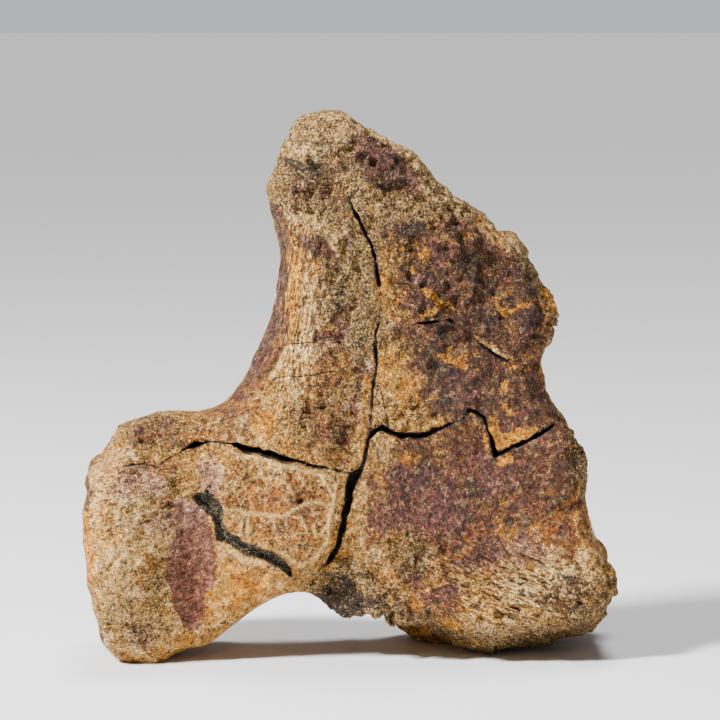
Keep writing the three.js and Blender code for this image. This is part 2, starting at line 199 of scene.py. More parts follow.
def polygon_distance(x, z, points):
    """Distance to a closed outline, negative inside it."""
    points = np.array(points, float)
    nearest = np.full(np.shape(x), 1e9)
    inside = np.zeros(np.shape(x), bool)
    for (ax, az), (bx, bz) in zip(points, np.roll(points, -1, 0)):
        ex, ez = bx - ax, bz - az
        t = np.clip(((x - ax) * ex + (z - az) * ez) / (ex * ex + ez * ez), 0, 1)
        nearest = np.minimum(nearest, np.hypot(x - ax - ex * t, z - az - ez * t))
        if az != bz:
            inside ^= ((az > z) != (bz > z)) & (x < ax + ex * (z - az) / (bz - az))
    return np.where(inside, -nearest, nearest)


square = [[0, 0], [2, 0], [2, 2], [0, 2]]
print("the middle of a 2 mm square is at", float(polygon_distance(1.0, 1.0, square)), "mm from its sides")

# %% [markdown]
# ## Maps of the two sides
# Everything drawn on a side is worked out once on a flat map of that side, with a value at about each
# third of a millimetre, and then looked up. That is much quicker than measuring it at each point of the
# solid. An image texture would be such a map too, but these are worked out from drawn paths and patches.

# %% The map grid
MAP_STEP = 0.35
MAP_LOW = np.array([-80.0, -12.0])
MAP_COUNT = (460, 460)
map_lines = [MAP_LOW[a] + MAP_STEP * np.arange(MAP_COUNT[a]) for a in (0, 1)]
map_x, map_z = np.meshgrid(*map_lines, indexing="ij")
flat = np.zeros_like(map_x)


def map_noise(size, seed, stretch=(1, 1), turn=0):
    """Noise on the map, with blobs of this size in mm, stretched along x or z, then turned."""
    c, s = math.cos(math.radians(turn)), math.sin(math.radians(turn))
    u, v = map_x * c + map_z * s, map_z * c - map_x * s
    return noise(u / (size * stretch[0]), flat + 0.37, v / (size * stretch[1]), seed)


def look_up(maps, x, z):
    """Values of a stack of maps at places on the side, blended between the map's points."""
    u = np.clip((x - MAP_LOW[0]) / MAP_STEP, 0, MAP_COUNT[0] - 1.001)
    v = np.clip((z - MAP_LOW[1]) / MAP_STEP, 0, MAP_COUNT[1] - 1.001)
    i, j = u.astype(int), v.astype(int)
    u, v = u - i, v - j
    return (
        maps[:, i, j] * (1 - u) * (1 - v) + maps[:, i + 1, j] * u * (1 - v)
        + maps[:, i, j + 1] * (1 - u) * v + maps[:, i + 1, j + 1] * u * v
    )


def uneven(rows, seed):
    """A sum of noises on the map, each with a height and a size in mm and a seed of its own."""
    return sum(height * map_noise(size, seed + n) for n, (height, size) in enumerate(rows))


# Edges are drawn straight and then bent: a little by the wobble, and further by the drift.
WOBBLE, DRIFT = [(0.55, 2.6), (0.25, 1.2)], [(2.6, 7.5), (1.5, 3.6)]
wobble_x, wobble_z = (uneven(WOBBLE, seed) for seed in (21, 23))
drift_x, drift_z = (uneven(DRIFT, seed) for seed in (25, 27))
outline_map = polygon_distance(map_x, map_z, outline_curve)
print("maps of", MAP_COUNT, "values")

# %% [markdown]
# ## Relief of the two sides
# The kept side has a swollen rim at its left end, a raised plate in the middle, a ledge of matrix below
# the tip, a broken hollow under the waist, and a flared right foot. Sculpting could give these too, but a
# sculpt can't be written down. Each form is a soft swelling with a height, a middle and a reach, so it
# can be read and changed.

# %% Swellings
KEPT_SIDE_RELIEF = [  # height, middle x, z, reach x, z
    (2.6, -57, 30, 11, 26),  # swollen rim of the left end
    (-2.4, -39.5, 26, 6, 17),  # groove behind the rim
    (2.8, -19, 38, 16, 13),  # raised plate in the middle
    (-2, -26, 15, 13, 6),  # slope under the plate
    (-5, -4, 16, 9, 8),  # broken hollow under the waist
    (2.2, -9, 80, 8, 26),  # column along the spine's front
    (1.6, -7, 107, 9, 6),  # ledge below the tip
    (-1.6, -10, 121, 8, 5),  # hollow above the ledge
    (1.2, 2, 130, 14, 7),  # worn tip
    (-2.2, 38, 101, 4.5, 8),  # notch beside the lobe
    (1.8, 45, 94, 6, 13),  # lobe of the broken edge
    (-2.4, 26, 48, 24, 13),  # hollow flank of the waist
    (1.4, 52, 50, 7, 14),  # edge that closes that flank
    (4.4, 42, 12, 24, 10),  # flare of the right foot
    (-1.5, 17, 20, 9, 7),  # matrix slope beside the foot
]
FAR_SIDE_RELIEF = [
    (2.4, -56, 32, 12, 24),  # swollen rim of the left end
    (3.4, 52, 24, 13, 18),  # swollen rim of the right end
    (-3, -24, 40, 20, 11),  # hollow flank
    (4.2, 6, 62, 13, 8),  # stump of the broken side process
    (-1.8, 34, 78, 11, 15),  # hollow behind the spine
    (1.8, -4, 98, 8, 24),  # ridge up the spine
    (-1.8, 18, 112, 9, 8),  # spalled patch under the crest
]
print("swellings:", len(KEPT_SIDE_RELIEF), "kept side,", len(FAR_SIDE_RELIEF), "far side")

# %% [markdown]
# ## Plate, veins, ledges and pits
# The plate is a piece of the outer bone that has stayed on in the middle, crossed by thin walls that
# stand proud. A ledge is a lip of rock, left where a layer has broken away. Both are drawn as paths with a
# height and a width, because a path can be moved point by point when the shape isn't right yet.

# %% The plate, its veins, ledges and pits
PLATE = [
    [-30.8, 55.5], [-22.2, 54.2], [-12.5, 51.6], [-1, 48.8], [0.3, 47], [-1, 40.6], [-2.8, 34.2],
    [-4, 29.6], [-7.9, 26], [-12.5, 23.9], [-14.5, 25.2], [-16.3, 27.5], [-22.2, 29.3], [-27.8, 31.4],
    [-31.3, 32.9], [-32.9, 34.7], [-32.6, 38], [-31.3, 40.6], [-33.9, 43.7], [-32.4, 49.6],
]
PLATE_HEIGHT, VEIN_HEIGHT = 1.1, 0.45
KEPT_SIDE_LEDGES = [  # height, reach behind the lip, path with the proud side on its left
    (2.3, 7, [[-0.6, 101], [-2.6, 106], [-5, 109.2], [-10, 111.6], [-15, 113], [-22, 114]]),
    (0.9, 3, [[-3, 122.6], [-8, 125.4], [-12, 124.4], [-18, 125]]),
    (0.8, 3, [[-2, 118.4], [-8, 117.4], [-14, 119.6], [-20, 119.2]]),
    (1.2, 6, [[-42.4, 54.6], [-46, 51.6], [-51, 51.4], [-56, 54.2], [-62, 52.4]]),
    (0.9, 3, [[6.5, 20], [5, 24.6], [0.6, 26.6], [-5.4, 26]]),
    (0.6, 7, [[-33.6, 31], [-33, 26], [-33.8, 20], [-35.4, 14.4], [-38, 10.6]]),
    (1.1, 4, [[44, 105], [39.6, 106.6], [34.6, 108.6], [29, 110]]),
    (0.9, 4, [[31, 99.6], [26, 101.4], [21, 99.4], [16, 101.2]]),
    (0.8, 4, [[47, 93], [42, 90.6], [37, 92.6], [33, 91]]),
    (0.7, 3, [[24, 94], [19.6, 95.8], [14, 94]]),
    (0.8, 3.5, [[50.6, 78], [45, 80.4], [40.4, 79]]),
]
FAR_SIDE_LEDGES = [
    (1.3, 7, [[-20, 116], [-12, 113.4], [-4, 115.4], [4, 112]]),
    (1, 5, [[16, 100], [24, 102.6], [32, 99], [40, 101]]),
    (0.9, 4, [[-40, 46], [-34, 43.6], [-28, 45.4]]),
    (1.1, 5, [[0, 55], [6, 52.6], [13, 54.6]]),
]
KEPT_SIDE_PITS = [  # depth, x, z, reach x, z
    (1.5, -12.2, 42.9, 0.55, 0.6), (1.1, -29.3, 41.9, 1.2, 0.9), (0.9, -24.6, 21.4, 1.4, 1.3),
    (1.9, -15.2, 126.6, 2.9, 1.2), (1.7, -9.6, 127.2, 3.2, 1.5), (1.2, -12, 124.6, 1.6, 1),
    (1.4, -44.6, 47.2, 1, 0.9), (1.4, -43.2, 45.2, 1.1, 1), (1.6, -12, 42.4, 0.8, 0.7),
    (1.2, -22.6, 21.6, 1.4, 1.6), (1, -21.2, 23.8, 1, 0.8), (1.2, 46.4, 44.6, 0.9, 0.8),
    (1.4, 17, 108, 2.6, 1.6), (1.2, 24, 99, 2.2, 2.8), (1, 31, 104, 2.4, 1.4), (1.2, 40, 88, 3, 1.5),
    (1.1, 46, 81, 1.6, 3), (0.9, 35, 92, 2, 1.2), (1, 26, 85, 2.6, 1.1), (0.9, -47, 31, 2, 1.6),
    (1.3, 34, 22, 3, 0.9), (1.1, 44, 15, 3.4, 0.7), (1.1, 39, 12.5, 3, 0.6), (1, 51, 17, 2.6, 0.7),
]
FAR_SIDE_PITS = [
    (1.8, 6, 66, 3.4, 2.4), (1.4, -46, 40, 2, 1.6), (1.5, 46, 34, 2.4, 1.3), (1.4, 20, 112, 3, 2),
    (1.2, -6, 88, 1.4, 3), (1.3, 30, 84, 2.2, 1.4), (1.4, -14, 124, 2.4, 1.4),
]
PLATE_VEINS = [  # width and path of each wall of bone that stands proud on the plate
    (0.8, [[-32.1, 40.5], [-29.5, 40.5], [-26.1, 39.8], [-21, 39.1], [-16.9, 38.8], [-14.2, 40.5],
           [-11.4, 41.9], [-8, 42.2], [-3.6, 41.1]]), (0.8, [[-26.7, 38.8], [-27.8, 33.3]]),
    (0.7, [[-25.3, 38.8], [-25.3, 34]]),
    (0.7, [[-14.2, 39.1], [-12.1, 38.5], [-10.7, 36.4], [-10.1, 35]]),
    (0.7, [[-18.9, 38.5], [-18.6, 35.4]]), (0.6, [[-15.8, 38.5], [-15.8, 35.7]]),
    (0.7, [[-8.7, 37.1], [-8.4, 33.7], [-4.8, 36]]),
    (0.6, [[-23.4, 53.5], [-22.7, 50.8], [-21, 47.4], [-20.6, 44.6]]),
    (0.6, [[-21, 52.8], [-18.2, 49.8]]), (0.6, [[-16.9, 48], [-13.5, 43.9]]),
    (0.7, [[-7, 49.8], [-5.3, 46], [-4, 43.2]]),
    (0.9, [[-2.9, 47.4], [-4.1, 40.5], [-5.5, 32.3], [-8.1, 28], [-13.2, 25.2]]),
    (0.8, [[-16.9, 29.6], [-12.8, 26.2]]), (0.8, [[-30, 54.4], [-22, 53], [-12, 50.4], [-4, 48.4]]),
]
print("plate veins:", len(PLATE_VEINS), "ledges:", len(KEPT_SIDE_LEDGES + FAR_SIDE_LEDGES),
      "pits:", len(KEPT_SIDE_PITS + FAR_SIDE_PITS))

# %% Draw forms on the map


def swellings(rows):
    """The sum of soft swellings. A pit is one that is taken away."""
    total = np.zeros_like(map_x)
    for height, x, z, reach_x, reach_z in rows:
        total += height * np.exp(-(((map_x - x) / reach_x) ** 2) - ((map_z - z) / reach_z) ** 2)
    return total


def within(x, z, reach_x, reach_z, turn=0, soft=0.65):
    """1 inside an ellipse drawn on the side, 0 outside, with a soft wandering edge."""
    c, s = math.cos(math.radians(turn)), math.sin(math.radians(turn))
    loose = min(1, min(reach_x, reach_z) / 6)
    dx = map_x + wobble_x + loose * drift_x - x
    dz = map_z + wobble_z + loose * drift_z - z
    away = np.hypot((dx * c + dz * s) / reach_x, (dz * c - dx * s) / reach_z)
    return smooth_step(1 + soft, 1 - soft, away)


def streaks(rows):
    """1 on the middle of a drawn line, 0 beyond its width, for the strongest of many lines."""
    total = np.zeros_like(map_x)
    for width, path in rows:
        away, _, along = path_distance(map_x + 0.7 * wobble_x, map_z + 0.7 * wobble_z, path)
        half = width * (0.3 + 0.3 * smooth_step(0, 0.2, np.minimum(along, 1 - along)))
        total = np.maximum(total, smooth_step(half + 0.3, half - 0.3, away))
    return total


def ledges(rows):
    """Lips of rock: proud on the left of each path, fading with distance and towards its ends."""
    total = np.zeros_like(map_x)
    for height, reach, path in rows:
        away, side, along = path_distance(map_x + 1.6 * wobble_x, map_z + 1.6 * wobble_z, path)
        ends = smooth_step(0, 0.15, np.minimum(along, 1 - along))
        total += height * ends * smooth_step(-0.5, 0.6, away * side) * np.exp(-((away / reach) ** 2))
    return total


def filled(points, wobble, outside, inside):
    """1 inside a closed outline, 0 outside, with a wobbly edge between two distances from it."""
    away = polygon_distance(map_x + wobble * wobble_x, map_z + wobble * wobble_z, points)
    return smooth_step(outside, inside, away)


plate_mask = filled(PLATE, 0.5, 0.7, -0.9)
veins = streaks(PLATE_VEINS)
kept_relief = swellings(KEPT_SIDE_RELIEF) + PLATE_HEIGHT * plate_mask + ledges(KEPT_SIDE_LEDGES)
kept_relief += VEIN_HEIGHT * veins - swellings(KEPT_SIDE_PITS)
far_relief = swellings(FAR_SIDE_RELIEF) + ledges(FAR_SIDE_LEDGES) - swellings(FAR_SIDE_PITS)
print("drawn relief in mm:", round(float(kept_relief.min()), 1), "to", round(float(kept_relief.max()), 1))

# %% [markdown]
# ## Fine relief
# Up close, fossil bone shows how it grew: fibres run along it, and spongy bone inside is full of holes.
# Where the skin is worn off, the fibres stand as ridges with open slots between. Noise that is stretched
# along the fibres makes them, each kind within its own patch. A brush stroke for each would take days.

# %% Knobs, fibres and small pits
# Heights and depths in mm.
KNOBS, KNOB_GROOVES = [(0.8, 4.6), (0.6, 2.3)], 0.5
FAR_KNOBS = [(0.7, 4.6), (0.4, 2.3)]
FOOT_FIBRES, FOOT_SLOTS, LEFT_FIBRES, COLUMN_FIBRES, FAR_FIBRES = 0.5, 1.3, 0.4, 0.38, 0.35
LEFT_PITS, CRUSTS, COLUMN_RIDGE, RIDGE_WIDTH = 0.75, 0.5, 0.5, 1.5
# Knobbly bone on the right block, where the outer skin is gone.
knobbly = np.maximum(within(32, 97, 19, 20), 0.7 * within(8, 120, 24, 16))
kept_relief += knobbly * (uneven(KNOBS, 31) - KNOB_GROOVES * np.abs(map_noise(3.1, 38)))
# Open slots between fibres on the flare of the right foot, and ridges on the left end.
foot_fibres = within(42, 18.5, 22, 11, -14, 0.5)
foot_slots = smooth_step(0.15, 0.6, map_noise(1.25, 39, (5.5, 1), -23))
kept_relief += foot_fibres * (FOOT_FIBRES * map_noise(1.0, 33, (6, 1), -23) - FOOT_SLOTS * foot_slots)
left_fibres = within(-50, 43, 15, 11)
kept_relief += LEFT_FIBRES * left_fibres * map_noise(1.1, 34, (5, 1), 10)
# Small pits all over the left end, and crusts of matrix off the plate.
pitted = within(-54, 34, 15, 24)
kept_relief -= LEFT_PITS * pitted * smooth_step(0.3, 0.75, map_noise(1.25, 43, (1.5, 1), 10))
kept_relief += CRUSTS * (1 - plate_mask) * np.abs(map_noise(2.9, 44)) * (0.5 + within(-2, 112, 22, 26))
# Upright fibres on the column up the front of the spine, and a low ridge along it.
column_fibres = within(-13, 90, 7, 32)
kept_relief += COLUMN_FIBRES * column_fibres * map_noise(1.2, 35, (1, 9), 4)
from_ridge = map_x + 9 - 0.1 * (map_z - 90)
column_ridge = COLUMN_RIDGE * np.exp(-((from_ridge / RIDGE_WIDTH) ** 2))
kept_relief += column_ridge * smooth_step(74, 84, map_z) * smooth_step(108, 100, map_z)
# The far side has the same kinds: upright fibres on its spine, level ones on both ends, and knobs.
far_ends = within(-52, 30, 16, 22) + within(50, 22, 18, 16)
far_relief += FAR_FIBRES * map_noise(1.2, 36, (1, 8), 6) * within(-6, 96, 14, 34)
far_relief += FAR_FIBRES * map_noise(1.1, 37, (7, 1), 8) * far_ends
far_relief += within(24, 98, 20, 18) * uneven(FAR_KNOBS, 41)
print("whole relief in mm:", round(float(kept_relief.min()), 1), "to", round(float(kept_relief.max()), 1))

# %% [markdown]
# ## Drying cracks
# As the buried bone dried, it split into blocks. The wide cracks are gaps that sand has partly filled,
# and the hairlines are only dark threads. Boolean knives could cut them, but a knife leaves clean walls.
# Here each crack is a path with a width and a depth, and it is opened in the field, with ragged edges.

# %% Crack paths of the kept side
KEPT_SIDE_CRACKS = [  # depth, share of sand in the filling, path of [x, z, width]
    (5, 0.2, [[-0.4, 119.5, 0.3], [1.1, 116.1, 0.8], [2.9, 112.7, 0.9], [4.2, 109.9, 0.9], [5.5, 107.3, 0.9],
              [6.6, 104, 0.8], [7.2, 99.9, 0.9], [7.7, 97, 0.8], [8, 96.2, 0.4]]),
    (1.3, 0.75, [[8, 89.7, 0.3], [8, 87.4, 0.8], [7, 84.9, 1.1], [6.7, 81, 1.1], [7, 76.8, 1],
                 [6.9, 73.7, 0.8], [6.4, 71.4, 0.7], [6, 68.2, 0.5], [5.6, 63.1, 0.5], [5.7, 59.8, 0.6]]),
    (4, 0.45, [[5.8, 58, 0.8], [6.9, 59.6, 1.3], [8.7, 60.5, 1.3], [10.5, 59.2, 1.5], [14.3, 57.9, 1.6],
               [17.5, 57.9, 1.5], [20.7, 58.6, 1.4], [23.3, 59.7, 1], [25.8, 60.5, 0.9],
               [27.4, 61.6, 0.4]]),
    (5, 0.2, [[29, 62.4, 0.4], [30.9, 64.6, 0.8], [32.8, 63.8, 0.8], [34.5, 62.4, 0.7], [35.7, 58.9, 0.7],
              [36.8, 56, 0.9], [37.6, 53.2, 1.2]]),
    (6, 0.0, [[37.5, 52.8, 0.8], [40.5, 54.2, 1.1], [43.7, 55.7, 1.2], [45.3, 56.6, 1], [48.8, 58.3, 1],
              [51.3, 59.8, 0.8], [53.6, 60.9, 0.2]]),
    (1.6, 0.8, [[5.7, 59.6, 0.9], [5.1, 57.8, 0.9], [4.8, 55.7, 1], [4.1, 52.5, 1.1], [3.1, 49.9, 1.3]]),
    (5, 0.4, [[2.5, 49.2, 1.8], [1.2, 47.3, 3], [0.4, 45.2, 2.6], [-0.2, 41.9, 1.9], [-1.1, 38, 1.7],
              [-2, 34.2, 1.6], [-3, 30.3, 1.5], [-4.5, 27.3, 1.4], [-5.8, 25.7, 0.8]]),
    (6, 0.05, [[-29.8, 56.4, 0.5], [-28.5, 56, 1.4], [-26.5, 55.5, 2], [-22.7, 54.6, 2], [-18.8, 53.6, 1.5],
               [-14.8, 52.6, 1.1], [-11.2, 51.8, 0.6]]),
    (1.4, 0.7, [[-11.2, 51.8, 0.6], [-9.1, 51, 0.9], [-5.3, 50.6, 0.7], [-2.8, 50, 0.4], [-0.7, 49.3, 0.5],
              [1.6, 48.8, 0.6]]),
    (2.2, 1.0, [[-38.8, 43.7, 2.4], [-36.9, 43, 4.6], [-34.9, 41.4, 4.9], [-33.5, 39.1, 3.1],
                [-33.1, 36.9, 1.9], [-32.2, 33.8, 3.3], [-28.3, 31.6, 3.5], [-24.2, 29.9, 3.5],
                [-20.1, 28.3, 3.4], [-17.3, 26.6, 3], [-15.4, 24.2, 1.8], [-14.8, 22.9, 0.8]]),
    (4, 0.1, [[-43, 54.6, 0.2], [-40.8, 55.6, 0.8], [-39, 56.4, 1.5], [-37, 56.9, 0.8], [-35.5, 57.3, 0.3]]),
    (4, 0.0, [[16.1, 86.5, 0.2], [17.9, 86.7, 0.6], [21.6, 87.1, 0.8], [25.2, 87.5, 0.7], [26.3, 87, 0.8],
              [27.4, 86.3, 0.2]]),
    (3, 0.1, [[32.4, 82.4, 0.3], [33.7, 81.3, 0.7], [35.3, 80, 0.9], [37.7, 78, 1], [41.1, 76.4, 0.4]]),
]
KEPT_SIDE_HAIRLINES = [  # too thin to open in the field, so the finish draws them
    (0.6, 0.2, [[8, 70.7, 0.2], [8.7, 68.1, 0.28], [9.5, 63.7, 0.28], [10.5, 59.6, 0.28]]),
    (0.5, 0.6, [[31.5, 64.4, 0.3], [34.5, 65, 0.25], [37.3, 66.5, 0.25], [39.6, 67.5, 0.25],
                [42.1, 68.6, 0.25], [45, 68.8, 0.2], [48.5, 70.4, 0.15]]),
    (0.6, 0.2, [[37.3, 52.5, 0.3], [35, 49.8, 0.2]]),
    (0.6, 0.1, [[-16.6, 81.2, 0.35], [-15.3, 81.5, 0.2], [-12.5, 81.8, 0.25], [-10.5, 82.3, 0.2],
                [-8.6, 82.4, 0.3], [-7.3, 83.2, 0.3], [-4.8, 83.6, 0.15]]),
    (0.6, 0.1, [[2.3, 83.1, 0.1], [4.4, 83.4, 0.25], [6.7, 83.7, 0.25]]),
    (0.6, 0.1, [[-20.7, 70.7, 0.4], [-18.8, 72.7, 0.25], [-16.3, 73.2, 0.25], [-12.5, 73.5, 0.25],
                [-9.3, 73.8, 0.3], [-7.3, 74.3, 0.35], [-4.8, 74.7, 0.2], [-2.8, 75.1, 0.1]]),
    (0.8, 0.4, [[-56.9, 51.6, 0.1], [-55.2, 52.1, 0.4], [-51.4, 51.9, 0.5], [-48.2, 51.2, 0.35],
                [-46.3, 52.9, 0.3], [-42.8, 54.7, 0.2]]),
    (0.7, 0.3, [[-35.5, 57.3, 0.3], [-32.9, 57, 0.3], [-29.8, 56.4, 0.4]]),
    (0.7, 0.4, [[8, 96.2, 0.3], [8.2, 93.7, 0.15], [8, 89.9, 0.3]]),
    (0.8, 0.4, [[27.4, 61.6, 0.35], [29, 62.4, 0.35]]),
]
print("kept side:", len(KEPT_SIDE_CRACKS), "open cracks,", len(KEPT_SIDE_HAIRLINES), "hairlines")

# %% [markdown]
# ## Cracks of the far side
# A part is turned in the hand, so no side of it may be plain. The far side has the same kinds of cracks
# in a layout of its own. Mirroring the kept side would be quicker, but the eye finds a mirrored crack.

# %% Crack paths of the far side
FAR_SIDE_CRACKS = [
    (5, 0.3, [[-4, 121, 0.3], [-2, 108, 1], [-5, 94, 1.3], [-3, 80, 1.2], [2, 70, 1.4], [0, 58, 1.6],
              [5, 46, 1.3], [3, 33, 0.4]]),
    (5, 0.5, [[0.6, 57, 1.4], [-12, 53, 1.8], [-24, 55, 1.6], [-38, 50, 1.2], [-48, 52, 0.3]]),
    (4, 0.2, [[3.4, 45, 1.2], [16, 41, 1], [28, 45, 1.2], [42, 41, 0.9], [52, 45, 0.3]]),
    (3, 0.1, [[14, 92, 0.3], [23, 88, 0.8], [32, 91, 0.7], [40, 85, 0.2]]),
]
FAR_SIDE_HAIRLINES = [
    (0.7, 0.2, [[-3, 84, 0.35], [-10, 80, 0.3], [-17, 82, 0.15]]),
    (0.7, 0.2, [[28, 45, 0.35], [31, 56, 0.3], [37, 66, 0.3], [36, 76, 0.15]]),
    (0.7, 0.3, [[-24, 55, 0.35], [-28, 44, 0.3], [-25, 34, 0.3], [-30, 22, 0.15]]),
    (0.6, 0.2, [[-2, 106, 0.3], [7, 103, 0.3], [15, 107, 0.25], [27, 101, 0.15]]),
]
print("far side:", len(FAR_SIDE_CRACKS), "open cracks,", len(FAR_SIDE_HAIRLINES), "hairlines")

# %% Draw the cracks
crack_swell = np.clip(0.9 + 0.45 * map_noise(2.2, 41) + 0.3 * map_noise(0.9, 42), 0.3, 1.8)


def crack_maps(cracks):
    """Side distance, distance, half width, depth and sand of the nearest crack, everywhere on the map."""
    best = np.full_like(map_x, np.inf)
    chosen = np.zeros((5, *map_x.shape))
    for depth, sand, path in cracks:
        ragged = 0.3 + 0.4 * min(depth / 4, 1)
        points, widths = np.array(path)[:, :2], np.array(path)[:, 2]
        walked = np.cumsum([0, *np.linalg.norm(np.diff(points, axis=0), axis=1)])
        away, side, along = path_distance(map_x + ragged * wobble_x, map_z + ragged * wobble_z, points)
        half = np.interp(along, walked / walked[-1], widths) / 2 * crack_swell
        closer = away - half < best
        best = np.where(closer, away - half, best)
        for row, value in enumerate((away * side, away, half, flat + depth, flat + sand)):
            chosen[row] = np.where(closer, value, chosen[row])
    return chosen


kept_cracks = crack_maps(KEPT_SIDE_CRACKS + KEPT_SIDE_HAIRLINES)
far_cracks = crack_maps(FAR_SIDE_CRACKS + FAR_SIDE_HAIRLINES)
print("widest crack:", round(2 * float(kept_cracks[2].max()), 1), "mm")

# %% [markdown]
# ## Stains and matrix
# Iron gives rust and ochre, manganese gives plum, lilac and near black, clean bone is tan to cream, and
# the sandstone matrix is an olive grey. The stains are patches with names, drawn on each side with
# wandering edges. They could be painted into an image, but as attributes of the mesh they need no
# unwrapping, and the material can break their edges finer.

